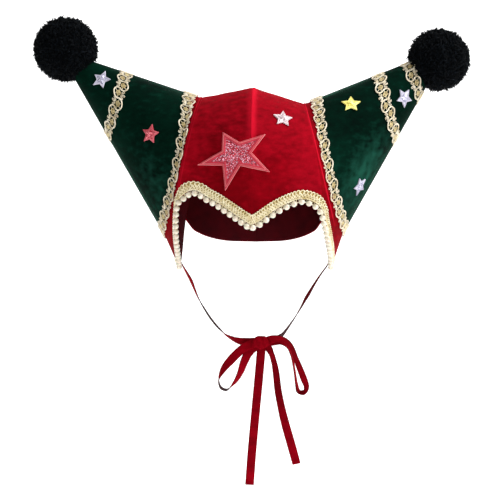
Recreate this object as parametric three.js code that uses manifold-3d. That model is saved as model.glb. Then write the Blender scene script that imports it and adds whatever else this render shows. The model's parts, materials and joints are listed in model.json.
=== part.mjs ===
// Jester hat with two stiff horns, ear flaps, scroll braid, pearls, stars and chin ribbons.
// Millimetres, +X to the viewer's right, +Y away from the viewer, +Z up.
// The origin is the middle of the head opening, level with the arches of the front rim.

import * as THREE from 'three';
import Module from 'manifold-3d';

const wasm = await Module();
wasm.setup();

// Cloth and trim
const WALL = 2.4;
const GAP = 0.3;
const RIBBON_WIDTH = 9.6;
const RIBBON_THICKNESS = 0.9;
const BRAID_HALF_WIDTH = 7.5;
const BRAID_SCALLOP = 0.8;
const BRAID_THICKNESS = 1.5;
const BRAID_WAVE = 23;
const RIM_BRAID_WIDTH = 9.5;
const RIM_BRAID_THICKNESS = 1.4;
const PEARL_RADIUS = 3.1;
const PEARL_PITCH = { left: 7.4, rightArch: 8.6, rightFlap: 7.1 };
const THREAD_RADIUS = 0.8;

// The crown is drawn by angle around the ear line (y 0, z EAR_HEIGHT): -90 is down, 0 front, 90 top, 180 back
const EAR_HEIGHT = 34;
const CENTRE_SECTION = [
  { angle: -60, radius: 165 },
  { angle: -40, radius: 122 },
  { angle: -20, radius: 106.5 },
  { angle: 0, radius: 102 },
  { angle: 30, radius: 101 },
  { angle: 60, radius: 92 },
  { angle: 90, radius: 84.2 },
  { angle: 120, radius: 92 },
];
const SIDE_SECTION = [
  { angle: -90, radius: 116 },
  { angle: -75, radius: 105 },
  { angle: -60, radius: 99 },
  { angle: -45, radius: 95.5 },
  { angle: -30, radius: 92.5 },
  { angle: 0, radius: 90 },
  { angle: 30, radius: 87 },
  { angle: 60, radius: 77 },
  { angle: 90, radius: 70 },
  { angle: 120, radius: 77 },
];
const SIDE_REACH = [
  { z: -90, x: 84 },
  { z: -50, x: 83.5 },
  { z: -30, x: 81.5 },
  { z: -10, x: 79 },
  { z: 15, x: 75.5 },
  { z: 46, x: 69.5 },
  { z: 80, x: 62 },
  { z: 115, x: 53 },
];
// How much further out than SIDE_REACH the seam and the flap's edge lie on each side
const SIDE_SHIFT = [
  { z: -90, left: 0, right: 3.4 },
  { z: -67, left: -0.2, right: 2.8 },
  { z: -47, left: 0.4, right: 0 },
  { z: -24, left: 1.4, right: -2.4 },
  { z: 0, left: 1, right: -2 },
  { z: 25, left: 0.5, right: -1 },
  { z: 60, left: 0, right: 0 },
  { z: 115, left: 0, right: 0 },
];
const FRONT_FULLNESS = 9;
const TOP_FULLNESS = 2;

// Front rim by share of the way from the centre seam to the side seam
const RIM = [
  { across: 0, left: -35, right: -35 },
  { across: 0.1, left: -29.5, right: -31.5 },
  { across: 0.2, left: -24, right: -26 },
  { across: 0.3, left: -18.5, right: -20.5 },
  { across: 0.4, left: -13, right: -15.8 },
  { across: 0.5, left: -8.3, right: -12 },
  { across: 0.6, left: -4.2, right: -9 },
  { across: 0.7, left: 0.8, right: -6.8 },
  { across: 0.8, left: 2.5, right: -7.8 },
  { across: 0.88, left: 0, right: -10.2 },
  { across: 0.94, left: -3.8, right: -13.5 },
  { across: 1, left: -9, right: -20 },
];
const HEM = [
  { across: 0, z: -52 },
  { across: 0.5, z: -50 },
  { across: 0.85, z: -40 },
  { across: 1, z: -26 },
];
const CROWN_COLUMNS = [0, 0.1, 0.2, 0.3, 0.4, 0.5, 0.6, 0.67, 0.74, 0.8, 0.85, 0.9, 0.95, 1];
const CROWN_LINES = { from: -15, to: 210 };
const SEAM_SHARE = 0.995;
const SEGMENTS = 24;

// Each horn is a straight oblique cone between two rings, given by their top and bottom points.
// A ring's waist is how much nearer the middle of the hat its front and back lie.
// flapCover is the share of the rim braid's width that shows on the ear flap.
const SIDES = [
  {
    name: 'left',
    sign: -1,
    lift: 3.7,
    base: { top: { x: 70.2, z: 112.6 }, bottom: { x: 102, z: -41 }, depth: 80, waist: 9.5 },
    tip: { top: { x: 185.8, z: 151.6 }, bottom: { x: 201, z: 130.6 }, depth: 13, waist: 0 },
    pompom: { x: -211.5, z: 164, radius: 36, socketClear: 0.5 },
    braids: { mid: 0.62 },
    flapCover: 0.35,
  },
  {
    name: 'right',
    sign: 1,
    lift: -3.7,
    base: { top: { x: 68.7, z: 106.4 }, bottom: { x: 101, z: -41 }, depth: 80, waist: 6 },
    tip: { top: { x: 178.1, z: 149.6 }, bottom: { x: 191.7, z: 119 }, depth: 16.7, waist: 0 },
    pompom: { x: 206.5, z: 150.6, radius: 34.5, socketClear: 2.8 },
    braids: { mid: 0.64, tip: 0.93 },
    flapCover: 0.5,
  },
];

// Small stars: turn is the angle of one point, anticlockwise from the viewer's right
const STAR_RADIUS = 11.2;
const STAR_NOTCH = 0.5;
const STAR_THICKNESS = 2.6;
const SMALL_STARS = [
  { name: 'star_crown', on: 'crown', side: 1, across: 0.54, angle: 29, turn: 18, colour: 0xd9c3c6 },
  { name: 'star_left_silver', on: 'horn', side: -1, along: 0.804, angle: 17, turn: -5, colour: 0xc9c6d6 },
  { name: 'star_left_red', on: 'horn', side: -1, along: 0.286, angle: -1.5, turn: 6, colour: 0xb32440 },
  { name: 'star_right_yellow', on: 'horn', side: 1, along: 0.33, angle: 35, turn: 18, colour: 0xe3d268 },
  { name: 'star_right_silver', on: 'horn', side: 1, along: 0.802, angle: -18, turn: -18, colour: 0xc9c6d6 },
  { name: 'star_right_low', on: 'horn', side: 1, along: 0.231, angle: -53, turn: 20, colour: 0xc9c6d6 },
];
const BIG_STAR = { x: -16.2, z: 38.5, thickness: 3, stand: 0.9 };
// Its points and the corners between them, as seen from the front: distance from its middle and direction
const BIG_STAR_CORNERS = [
  { reach: 40.7, angle: -25.6 },
  { reach: 17.6, angle: 9.5 },
  { reach: 39, angle: 35 },
  { reach: 14.6, angle: 72.9 },
  { reach: 28, angle: 118.4 },
  { reach: 14.8, angle: 160.7 },
  { reach: 41.3, angle: 193.7 },
  { reach: 17, angle: 218.8 },
  { reach: 38.7, angle: 254.1 },
  { reach: 12.3, angle: 296 },
];

// Ribbon routes; twist 0 shows the ribbon's face from the front, 90 its edge
const KNOT = { x: 9.5, z: -162.3, width: 10, height: 7.8, around: 10 };
// The knot from its back to its front: a neck that the ribbon ends lie against, under a wider wrap
const KNOT_PROFILE = [
  { reach: 0, y: -40.6 },
  { reach: 0.6, y: -40.8 },
  { reach: 0.6, y: -49.7 },
  { reach: 0.96, y: -50.2 },
  { reach: 1, y: -52 },
  { reach: 0.8, y: -54 },
  { reach: 0.4, y: -54.8 },
  { reach: 0, y: -55 },
];
const RIBBONS = {
  tie_left: {
    steps: 16,
    route: [
      { x: -85.3, y: -1, z: -66, twist: 90 },
      { x: -79.4, y: -1, z: -79, twist: 82 },
      { x: -74.4, y: -2, z: -88, twist: 72 },
      { x: -69.4, y: -5, z: -97, twist: 67 },
      { x: -62, y: -12, z: -113, twist: 80 },
      { x: -56, y: -18, z: -123.6, twist: 89 },
      { x: -47.2, y: -25, z: -136.6, twist: 90 },
      { x: -36, y: -32, z: -149, twist: 86 },
      { x: -28.2, y: -37, z: -155.8, twist: 74 },
      { x: -16, y: -40.6, z: -161, twist: 44 },
      { x: -5, y: -42, z: -162.4, twist: 14 },
      { x: 2.7, y: -42.2, z: -162.4, twist: 0 },
    ],
  },
  tie_right: {
    steps: 16,
    route: [
      { x: 87.8, y: -1, z: -66, twist: 90 },
      { x: 82.2, y: -1, z: -79, twist: 88 },
      { x: 76.2, y: -2, z: -87, twist: 86 },
      { x: 70, y: -5, z: -96, twist: 80 },
      { x: 60, y: -13, z: -113, twist: 70 },
      { x: 54, y: -18, z: -123.5, twist: 80 },
      { x: 41.8, y: -27.5, z: -143, twist: 94 },
      { x: 32.4, y: -35.5, z: -155, twist: 112 },
      { x: 25.6, y: -39.6, z: -159.8, twist: 145 },
      { x: 16.3, y: -41.4, z: -161.6, twist: 178 },
    ],
  },
  bow_loop_left: {
    steps: 18,
    route: [
      { x: 2.6, y: -48.9, z: -162.8, twist: 0 },
      { x: -9, y: -50.5, z: -168.4, twist: 8 },
      { x: -22, y: -55, z: -180.2, twist: 14 },
      { x: -31.6, y: -56, z: -192, twist: 50 },
      { x: -36.2, y: -54, z: -203, twist: 85 },
      { x: -34, y: -52, z: -211.6, twist: 90 },
      { x: -27.6, y: -51, z: -214, twist: 88 },
      { x: -19.2, y: -50, z: -206, twist: 65 },
      { x: -13.4, y: -49.5, z: -196, twist: 50 },
      { x: -8.9, y: -49, z: -184, twist: 28 },
      { x: -4, y: -48, z: -174, twist: 9 },
      { x: 3.9, y: -47.2, z: -165.9, twist: 0 },
    ],
  },
  bow_loop_right: {
    steps: 21,
    route: [
      { x: 16, y: -48.8, z: -161.2, twist: 0 },
      { x: 23, y: -50.5, z: -158.6, twist: 25 },
      { x: 31, y: -53, z: -158, twist: 50 },
      { x: 38.5, y: -55, z: -161.4, twist: 58 },
      { x: 43.5, y: -56.5, z: -168, twist: 60 },
      { x: 47, y: -58, z: -177.4, twist: 56 },
      { x: 51.3, y: -58.5, z: -188, twist: 47 },
      { x: 56.2, y: -58, z: -201, twist: 41 },
      { x: 58.8, y: -56, z: -210.4, twist: 52 },
      { x: 56, y: -53, z: -216, twist: 62 },
      { x: 50.6, y: -50, z: -215.2, twist: 66 },
      { x: 48.2, y: -47.5, z: -207.4, twist: 74 },
      { x: 46.8, y: -45.5, z: -197.4, twist: 87 },
      { x: 45.4, y: -44.8, z: -188, twist: 88 },
      { x: 43.2, y: -45, z: -177, twist: 80 },
      { x: 38.8, y: -45.6, z: -166.6, twist: 66 },
      { x: 31, y: -46, z: -161.6, twist: 50 },
      { x: 23, y: -46.4, z: -161.4, twist: 22 },
      { x: 16.1, y: -46.8, z: -162.4, twist: 0 },
    ],
  },
  bow_tail_left: {
    steps: 8,
    route: [
      { x: 10, y: -45.6, z: -167.8, twist: 0 },
      { x: 7.7, y: -47, z: -195, twist: 2 },
      { x: 3.4, y: -48, z: -241, twist: 0 },
      { x: -0.2, y: -48, z: -280.6, twist: -6 },
      { x: -3, y: -48, z: -318, twist: -10 },
    ],
  },
  bow_tail_right: {
    steps: 12,
    route: [
      { x: 14.6, y: -43, z: -166.5, twist: 8 },
      { x: 18, y: -43.2, z: -169.4, twist: 32 },
      { x: 21, y: -44.6, z: -175, twist: 52 },
      { x: 24.1, y: -46.6, z: -185.3, twist: 50 },
      { x: 25.8, y: -48, z: -195, twist: 42 },
      { x: 28.4, y: -49, z: -215, twist: 36 },
      { x: 32, y: -49, z: -234, twist: 30 },
      { x: 34.8, y: -49, z: -246, twist: 20 },
      { x: 42.6, y: -48, z: -274, twist: 8 },
      { x: 48.4, y: -47, z: -295.2, twist: 20 },
    ],
  },
};

const RED_VELVET = { color: 0x8a0614, roughness: 0.85, metalness: 0 };
const GREEN_VELVET = { color: 0x03251a, roughness: 0.85, metalness: 0 };
const BLACK_YARN = { color: 0x07080a, roughness: 0.95, metalness: 0 };
const CREAM_GOLD = { color: 0xc9ad78, roughness: 0.45, metalness: 0.5 };
const YELLOW_GOLD = { color: 0xcfa348, roughness: 0.4, metalness: 0.6 };
const PEARL = { color: 0xece4d6, roughness: 0.25, metalness: 0 };
const PINK_PATCH = { color: 0xc13a55, roughness: 0.5, metalness: 0 };

const vec = (x, y, z) => new THREE.Vector3(x, y, z);
const clamp = THREE.MathUtils.clamp;
const smooth = (value, from, to) => THREE.MathUtils.smoothstep(value, from, to);
const radians = THREE.MathUtils.degToRad;

// A smooth curve through a table's rows: the value in column `out` where column `by` equals `key`
function lookUp(table, by, out, key) {
  const last = table.length - 1;
  let row = 0;
  while (row < last - 1 && key > table[row + 1][by]) {
    row += 1;
  }
  const slope = (i) => {
    const a = table[Math.max(i - 1, 0)];
    const b = table[Math.min(i + 1, last)];
    return (b[out] - a[out]) / (b[by] - a[by]);
  };
  const step = table[row + 1][by] - table[row][by];
  const t = (key - table[row][by]) / step;
  const start = table[row][out] * (2 * t ** 3 - 3 * t * t + 1) + step * slope(row) * (t ** 3 - 2 * t * t + t);
  return start + table[row + 1][out] * (3 * t * t - 2 * t ** 3) + step * slope(row + 1) * (t ** 3 - t * t);
}

// The three seams, as points at an angle around the ear line, all on the +X side
const fold = (angle) => (angle > 90 ? 180 - angle : angle);
const outward = (angle) => vec(0, -Math.cos(radians(angle)), Math.sin(radians(angle)));

function centreSeam(angle) {
  const radius = lookUp(CENTRE_SECTION, 'angle', 'radius', fold(angle));
  return outward(angle).multiplyScalar(radius).add(vec(0, 0, EAR_HEIGHT));
}

function sideSeam(side, angle) {
  const radius = lookUp(SIDE_SECTION, 'angle', 'radius', fold(angle));
  const point = outward(angle).multiplyScalar(radius).add(vec(0, 0, EAR_HEIGHT));
  point.x = lookUp(SIDE_REACH, 'z', 'x', point.z) + lookUp(SIDE_SHIFT, 'z', side.name, point.z);
  point.z += side.lift * clamp(point.z / 105, 0, 1);
  return point;
}

function ring({ top, bottom, depth, waist }, angle) {
  const rise = Math.sin(radians(angle));
  const level = Math.cos(radians(angle));
  return vec(
    (top.x + bottom.x) / 2 + (rise * (top.x - bottom.x)) / 2 - waist * level * level,
    -depth * level,
    (top.z + bottom.z) / 2 + (rise * (top.z - bottom.z)) / 2,
  );
}

const hornBase = (side, angle) => ring(side.base, angle);
const hornTip = (side, angle) => ring(side.tip, angle);

// The outer faces: `u` runs away from the centre seam, `angle` around the ear line
function fullness(u, angle) {
  const level = Math.cos(radians(angle)) ** 2;
  return outward(angle).multiplyScalar((TOP_FULLNESS + FRONT_FULLNESS * level) * u * (1 - u));
}

const crownFace = (side) => (u, angle) =>
  centreSeam(angle).lerp(sideSeam(side, angle), u).add(fullness(u, angle));
const panelFace = (side) => (u, angle) => sideSeam(side, angle).lerp(hornBase(side, angle), u);
const hornFace = (side) => (u, angle) => hornBase(side, angle).lerp(hornTip(side, angle), u);

function normalOf(face, u, angle) {
  const along = face(u + 0.001, angle).sub(face(u - 0.001, angle));
  const around = face(u, angle + 0.05).sub(face(u, angle - 0.05));
  return along.cross(around).normalize();
}

// The inner faces are drawn between seam points set in by the wall, square to the mean of the two faces there
function setIn(point, normals) {
  const mean = normals.reduce((sum, n) => sum.add(n), vec(0, 0, 0)).normalize();
  return point.addScaledVector(mean, -WALL / Math.max(mean.dot(normals[0]), 0.7));
}

function innerCentre(side, angle) {
  const normal = normalOf(crownFace(side), 0.001, angle).setX(0).normalize();
  return centreSeam(angle).addScaledVector(normal, -WALL);
}

function innerSide(side, angle) {
  const crown = normalOf(crownFace(side), 1, angle).multiplyScalar(smooth(fold(angle), -62, -42));
  return setIn(sideSeam(side, angle), [normalOf(panelFace(side), 0, angle), crown]);
}

function innerBase(side, angle) {
  return setIn(hornBase(side, angle), [normalOf(hornFace(side), 0, angle), normalOf(panelFace(side), 1, angle)]);
}

function innerTip(side, angle) {
  return setIn(hornTip(side, angle), [normalOf(hornFace(side), 1, angle)]);
}

const crownLining = (side) => (u, angle) =>
  innerCentre(side, angle).lerp(innerSide(side, angle), u).add(fullness(u, angle));
const panelLining = (side) => (u, angle) => innerSide(side, angle).lerp(innerBase(side, angle), u);
const hornLining = (side) => (u, angle) => innerBase(side, angle).lerp(innerTip(side, angle), u);

// The angle at which a face reaches height z, on the front (from -88 to 60) or on the back
function angleAtHeight(face, u, z, back) {
  let low = -70;
  let high = 60;
  for (let pass = 0; pass < 40; pass += 1) {
    const middle = (low + high) / 2;
    if (face(u, back ? 180 - middle : middle).z < z) {
      low = middle;
    } else {
      high = middle;
    }
  }
  return back ? 180 - low : low;
}

const rimAngle = (side, u) => angleAtHeight(crownFace(side), u, lookUp(RIM, 'across', side.name, u), false);
const hemAngle = (side, u) => angleAtHeight(crownFace(side), u, lookUp(HEM, 'across', 'z', u), true);

// A closed solid from a sheet of triangles and the same sheet's points on its other face
function thicken(outer, inner, faces) {
  const offset = outer.length;
  const open = new Map();
  for (const [a, b, c] of faces) {
    for (const [from, to] of [[a, b], [b, c], [c, a]]) {
      open.set(`${from},${to}`, [from, to]);
    }
  }
  const solid = faces.flatMap(([a, b, c]) => [[a, b, c], [c + offset, b + offset, a + offset]]);
  for (const [from, to] of open.values()) {
    if (!open.has(`${to},${from}`)) {
      solid.push([to, from, from + offset], [to, from + offset, to + offset]);
    }
  }
  return { points: [...outer, ...inner], faces: solid };
}

function grid(columns, rows, ringed) {
  const faces = [];
  const span = ringed ? rows : rows - 1;
  for (let i = 0; i < columns - 1; i += 1) {
    for (let j = 0; j < span; j += 1) {
      const next = (j + 1) % rows;
      const a = i * rows + j;
      const b = (i + 1) * rows + j;
      const c = (i + 1) * rows + next;
      const d = i * rows + next;
      faces.push([a, b, c], [a, c, d]);
    }
  }
  return faces;
}

function mirror({ points, faces }) {
  return {
    points: points.map((p) => vec(-p.x, p.y, p.z)),
    faces: faces.map(([a, b, c]) => [c, b, a]),
  };
}

const onSide = (side, solid) => (side.sign < 0 ? mirror(solid) : solid);

function geometryOf({ points, faces }) {
  const geometry = new THREE.BufferGeometry();
  geometry.setAttribute('position', new THREE.Float32BufferAttribute(points.flatMap((p) => p.toArray()), 3));
  geometry.setIndex(faces.flat());
  geometry.computeVertexNormals();
  return geometry;
}

const hat = new THREE.Group();

function addPiece(name, solid, finish) {
  const geometry = solid.isBufferGeometry ? solid : geometryOf(solid);
  const mesh = new THREE.Mesh(geometry, new THREE.MeshStandardMaterial(finish));
  mesh.name = name;
  hat.add(mesh);
  return mesh;
}

// Crown halves, from the front rim over the top to the back hem
function crownHalf(side) {
  const outer = [];
  const inner = [];
  const crownLines = [];
  for (let angle = CROWN_LINES.from; angle <= CROWN_LINES.to; angle += 360 / SEGMENTS) {
    crownLines.push(angle);
  }
  for (const column of CROWN_COLUMNS) {
    const angles = [rimAngle(side, column), ...crownLines, hemAngle(side, column)];
    for (const angle of angles) {
      outer.push(crownFace(side)(column * SEAM_SHARE, angle));
      inner.push(crownLining(side)(column * SEAM_SHARE, angle));
    }
  }
  const half = (point) => point.setX(Math.max(point.x, GAP / 2));
  return thicken(outer.map(half), inner.map(half), grid(CROWN_COLUMNS.length, crownLines.length + 2, false));
}

// Side panels: a ring with the ear flap at its lowest point
function sidePanel(side) {
  const outer = [];
  const inner = [];
  const shares = [0, 0.5, 1];
  for (const share of shares) {
    for (let k = 0; k < SEGMENTS; k += 1) {
      const angle = -90 + (360 * k) / SEGMENTS;
      const width = sideSeam(side, angle).distanceTo(hornBase(side, angle));
      const u = GAP / width + share * (1 - GAP / width);
      outer.push(panelFace(side)(u, angle));
      inner.push(panelLining(side)(u, angle));
    }
  }
  return thicken(outer, inner, grid(shares.length, SEGMENTS, true));
}

// Horns: hollow cones, closed at the tip
function horn(side) {
  const outer = [];
  const inner = [];
  const shares = [0.0035, 0.34, 0.67, 1];
  for (const share of shares) {
    for (let k = 0; k < SEGMENTS; k += 1) {
      const angle = -90 + (360 * k) / SEGMENTS;
      outer.push(hornFace(side)(share, angle));
      inner.push(hornLining(side)(share * 0.985, angle));
    }
  }
  const faces = grid(shares.length, SEGMENTS, true);
  const lastRing = (shares.length - 1) * SEGMENTS;
  const apex = shares.length * SEGMENTS;
  for (let k = 0; k < SEGMENTS; k += 1) {
    faces.push([lastRing + k, apex, lastRing + ((k + 1) % SEGMENTS)]);
  }
  outer.push(ring(side.tip, -90).add(ring(side.tip, 90)).multiplyScalar(0.5));
  inner.push(hornLining(side)(0.985, -90).add(hornLining(side)(0.985, 90)).multiplyScalar(0.5));
  return thicken(outer, inner, faces);
}

// Scroll braid: a band with scalloped edges, lying over a ring of the horn or over its join with the panel
function scrollBraid(side, along, stand) {
  const length = Math.PI * (side.base.depth + (side.tip.depth - side.base.depth) * along) * 2;
  const count = Math.round(length / BRAID_WAVE) * 4;
  const horn = hornFace(side);
  const inward = along === 0 ? panelFace(side) : horn;
  const outer = [];
  const inner = [];
  for (const way of [-1, 1]) {
    for (let k = 0; k < count; k += 1) {
      const angle = -90 + (360 * k) / count;
      const half = BRAID_HALF_WIDTH + way * BRAID_SCALLOP * Math.cos((k * Math.PI) / 2);
      const face = way < 0 ? inward : horn;
      const start = face === horn ? along : 1;
      const run = face(1, angle).sub(face(0, angle));
      const around = face(start, angle + 0.5).sub(face(start, angle - 0.5)).normalize();
      const u = start + (way * half) / run.cross(around).length();
      const normal = normalOf(face, clamp(u, 0.01, 0.99), angle);
      inner.push(face(u, angle).addScaledVector(normal, stand));
      outer.push(face(u, angle).addScaledVector(normal, stand + BRAID_THICKNESS));
    }
  }
  return thicken(outer, inner, grid(2, count, true));
}

// Pompom: locks of yarn standing on a ball, with a socket for the horn's tip
function manifoldOf({ points, faces }) {
  return new wasm.Manifold(
    new wasm.Mesh({
      numProp: 3,
      vertProperties: new Float32Array(points.flatMap((p) => p.toArray())),
      triVerts: new Uint32Array(faces.flat()),
    }),
  );
}

function ballOfLocks(radius) {
  const ball = new THREE.IcosahedronGeometry(radius * 0.9, 2);
  const corners = ball.getAttribute('position');
  const points = [];
  const places = new Map();
  const place = (p) => {
    const key = p.toArray().map((value) => value.toFixed(3)).join();
    if (!places.has(key)) {
      places.set(key, points.push(p) - 1);
    }
    return places.get(key);
  };
  const faces = [];
  for (let i = 0; i < corners.count; i += 3) {
    const triangle = [0, 1, 2].map((k) => vec(0, 0, 0).fromBufferAttribute(corners, i + k));
    const tip = triangle.reduce((sum, p) => sum.add(p), vec(0, 0, 0)).setLength(radius);
    const [a, b, c] = triangle.map(place);
    const t = place(tip);
    faces.push([a, b, t], [b, c, t], [c, a, t]);
  }
  return { points, faces };
}

function hornPlug(side) {
  const points = [];
  const rings = [0.6, 1];
  const axis = ring(side.tip, 0).setY(0).sub(ring(side.base, 0).setY(0)).normalize();
  for (const share of rings) {
    for (let k = 0; k < SEGMENTS; k += 1) {
      const angle = -90 + (360 * k) / SEGMENTS;
      const normal = normalOf(hornFace(side), 0.9, angle);
      const point = hornFace(side)(share, angle).addScaledVector(normal, side.pompom.socketClear);
      points.push(share === 1 ? point.addScaledVector(axis, GAP) : point);
    }
  }
  const faces = grid(2, SEGMENTS, true);
  for (let k = 1; k < SEGMENTS - 1; k += 1) {
    faces.push([0, k, k + 1]);
    faces.push([SEGMENTS, SEGMENTS + k + 1, SEGMENTS + k]);
  }
  return { points, faces };
}

function pompom(side) {
  const ball = ballOfLocks(side.pompom.radius);
  const centre = vec(side.pompom.x, 0, side.pompom.z);
  ball.points.forEach((p) => p.add(centre));
  const cut = manifoldOf(ball).subtract(manifoldOf(onSide(side, hornPlug(side)))).getMesh();
  const points = [];
  for (let i = 0; i < cut.vertProperties.length; i += cut.numProp) {
    points.push(vec(cut.vertProperties[i], cut.vertProperties[i + 1], cut.vertProperties[i + 2]));
  }
  const faces = [];
  for (let i = 0; i < cut.triVerts.length; i += 3) {
    faces.push([cut.triVerts[i], cut.triVerts[i + 1], cut.triVerts[i + 2]]);
  }
  return { points, faces };
}

// The edge that carries the trim: along the front rim to the side seam, then down the ear flap to its tip.
// Each station has the edge point, the face's normal, the way into the cloth and the braid's cover.
function trimOnSide(side) {
  const stations = [];
  const crown = crownFace(side);
  for (const u of CROWN_COLUMNS) {
    stations.push({
      edge: crown(u, rimAngle(side, u)),
      normal: normalOf(crown, u, rimAngle(side, u)),
      cover: 1 + (side.flapCover - 1) * smooth(u, 0.8, 1),
    });
  }
  const corner = rimAngle(side, 1);
  const flapStations = 15;
  for (let k = 1; k <= flapStations; k += 1) {
    const angle = corner + ((-87 - corner) * k) / flapStations;
    stations.push({
      edge: sideSeam(side, angle),
      normal: normalOf(panelFace(side), 0, angle),
      cover: side.flapCover,
    });
  }
  for (let pass = 0; pass < 2; pass += 1) {
    const normals = stations.map(({ normal }) => normal.clone());
    for (let k = 1; k < stations.length - 1; k += 1) {
      stations[k].normal.add(normals[k - 1]).add(normals[k + 1]).normalize();
    }
  }
  stations[0].normal.setX(0).normalize();
  stations.forEach((station, k) => {
    const before = k === 0 ? stations[1].edge.clone().multiply(vec(-1, 1, 1)) : stations[k - 1].edge;
    const after = stations[Math.min(k + 1, stations.length - 1)].edge;
    const here = station.edge;
    const arriving = here.clone().sub(before).normalize();
    const leaving = after === here ? arriving : after.clone().sub(here).normalize();
    const tangent = arriving.clone().add(leaving).normalize();
    station.into = tangent.clone().cross(station.normal).normalize().negate();
    station.mitre = 1 / Math.max(tangent.dot(arriving), 0.6);
  });
  return stations;
}

function trimStations() {
  const [left, right] = SIDES.map(trimOnSide);
  const flip = ({ edge, normal, into, mitre, cover }) => ({
    edge: edge.clone().multiply(vec(-1, 1, 1)),
    normal: normal.clone().multiply(vec(-1, 1, 1)),
    into: into.clone().multiply(vec(-1, 1, 1)),
    mitre,
    cover,
  });
  return [...left.slice(1).reverse().map(flip), ...right];
}

function rimBraid(stations) {
  const outer = [];
  const inner = [];
  for (const share of [1, 0]) {
    for (const { edge, normal, into, mitre, cover } of stations) {
      const point = edge.clone().addScaledVector(into, share * RIM_BRAID_WIDTH * cover * mitre);
      inner.push(point.clone().addScaledVector(normal, 0.4));
      outer.push(point.clone().addScaledVector(normal, 0.4 + RIM_BRAID_THICKNESS));
    }
  }
  return thicken(outer, inner, grid(2, stations.length, false));
}

function pearlString(stations) {
  const reach = PEARL_RADIUS + 0.5;
  const route = new THREE.CatmullRomCurve3(
    stations.map(({ edge, normal, into, mitre }) =>
      edge.clone().addScaledVector(into, -reach * mitre).addScaledVector(normal, 0.4)),
    false,
    'centripetal',
  );
  route.arcLengthDivisions = 2000;
  const length = route.getLength();
  const middle = stations.findIndex(({ edge }) => Math.abs(edge.x) < 0.01);
  const rightCorner = middle + CROWN_COLUMNS.length - 1;
  const pitchAt = (at) => {
    const station = (at / length) * (stations.length - 1);
    if (station < middle) {
      return PEARL_PITCH.left;
    }
    return station < rightCorner ? PEARL_PITCH.rightArch : PEARL_PITCH.rightFlap;
  };
  const rings = [{ at: 0, radius: THREAD_RADIUS }];
  for (let at = 0, pitch = pitchAt(0); at + pitch <= length; pitch = pitchAt(at)) {
    rings.push({ at: at + pitch / 2 - PEARL_RADIUS * 0.4, radius: PEARL_RADIUS });
    rings.push({ at: at + pitch / 2 + PEARL_RADIUS * 0.4, radius: PEARL_RADIUS });
    at += pitch;
    rings.push({ at, radius: THREAD_RADIUS });
  }
  const sides = 10;
  const points = [];
  for (const { at, radius } of rings) {
    const centre = route.getPointAt(at / length);
    const tangent = route.getTangentAt(at / length);
    const across = vec(0, 1, 0).cross(tangent).normalize();
    const depth = tangent.clone().cross(across);
    for (let k = 0; k < sides; k += 1) {
      const turn = (2 * Math.PI * k) / sides;
      points.push(centre.clone()
        .addScaledVector(across, radius * Math.cos(turn))
        .addScaledVector(depth, radius * Math.sin(turn)));
    }
  }
  const faces = grid(rings.length, sides, true).map(([a, b, c]) => [c, b, a]);
  const last = (rings.length - 1) * sides;
  for (let k = 1; k < sides - 1; k += 1) {
    faces.push([0, k + 1, k], [last, last + k, last + k + 1]);
  }
  return { points, faces };
}

// Stars
const evenCorners = (radius, notch) =>
  Array.from({ length: 10 }, (_, k) => ({ reach: k % 2 === 0 ? radius : radius * notch, angle: 36 * k }));

function starOutline(rows, perEdge) {
  const corners = rows.map(({ reach, angle }) =>
    new THREE.Vector2(reach * Math.cos(radians(angle)), reach * Math.sin(radians(angle))));
  return corners.flatMap((corner, k) => {
    const next = corners[(k + 1) % corners.length];
    return Array.from({ length: perEdge }, (_, j) => corner.clone().lerp(next, j / perEdge));
  });
}

function smallStar() {
  const outline = starOutline(evenCorners(STAR_RADIUS, STAR_NOTCH), 1);
  const outer = outline.map((p) => vec(p.x, p.y, STAR_THICKNESS * 0.45));
  const inner = outline.map((p) => vec(p.x, p.y, 0));
  outer.push(vec(0, 0, STAR_THICKNESS));
  inner.push(vec(0, 0, 0));
  const centre = outline.length;
  return thicken(outer, inner, outline.map((_, k) => [k, (k + 1) % centre, centre]));
}

function addSmallStar({ name, on, side, across, along, angle, turn, colour }) {
  const home = SIDES.find(({ sign }) => sign === side);
  const face = on === 'crown' ? crownFace(home) : hornFace(home);
  const share = on === 'crown' ? across : along;
  const point = face(share, angle);
  const normal = normalOf(face, share, angle);
  const flip = vec(side, 1, 1);
  const out = normal.clone().multiply(flip);
  const right = vec(1, 0, 0).addScaledVector(out, -out.x).normalize();
  const up = out.clone().cross(right);
  const mesh = addPiece(name, smallStar(), { color: colour, roughness: 0.25, metalness: 0.2 });
  const basis = new THREE.Matrix4().makeBasis(right, up, out);
  mesh.quaternion.setFromRotationMatrix(basis.multiply(new THREE.Matrix4().makeRotationZ(radians(turn))));
  mesh.position.copy(point.multiply(flip)).addScaledVector(out, GAP + 0.15);
}

// The big patch follows the front of the crown across the centre seam
function frontPoint(x, z, stand) {
  const side = SIDES.find(({ sign }) => sign === (x < 0 ? -1 : 1));
  const face = crownFace(side);
  let share = Math.abs(x) / 75;
  let angle = 0;
  for (let pass = 0; pass < 8; pass += 1) {
    angle = angleAtHeight(face, share, z, false);
    share = Math.abs(x) / Math.max(sideSeam(side, angle).x, 1);
  }
  const flip = vec(side.sign, 1, 1);
  return face(share, angle).addScaledVector(normalOf(face, share, angle), stand).multiply(flip);
}

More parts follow.
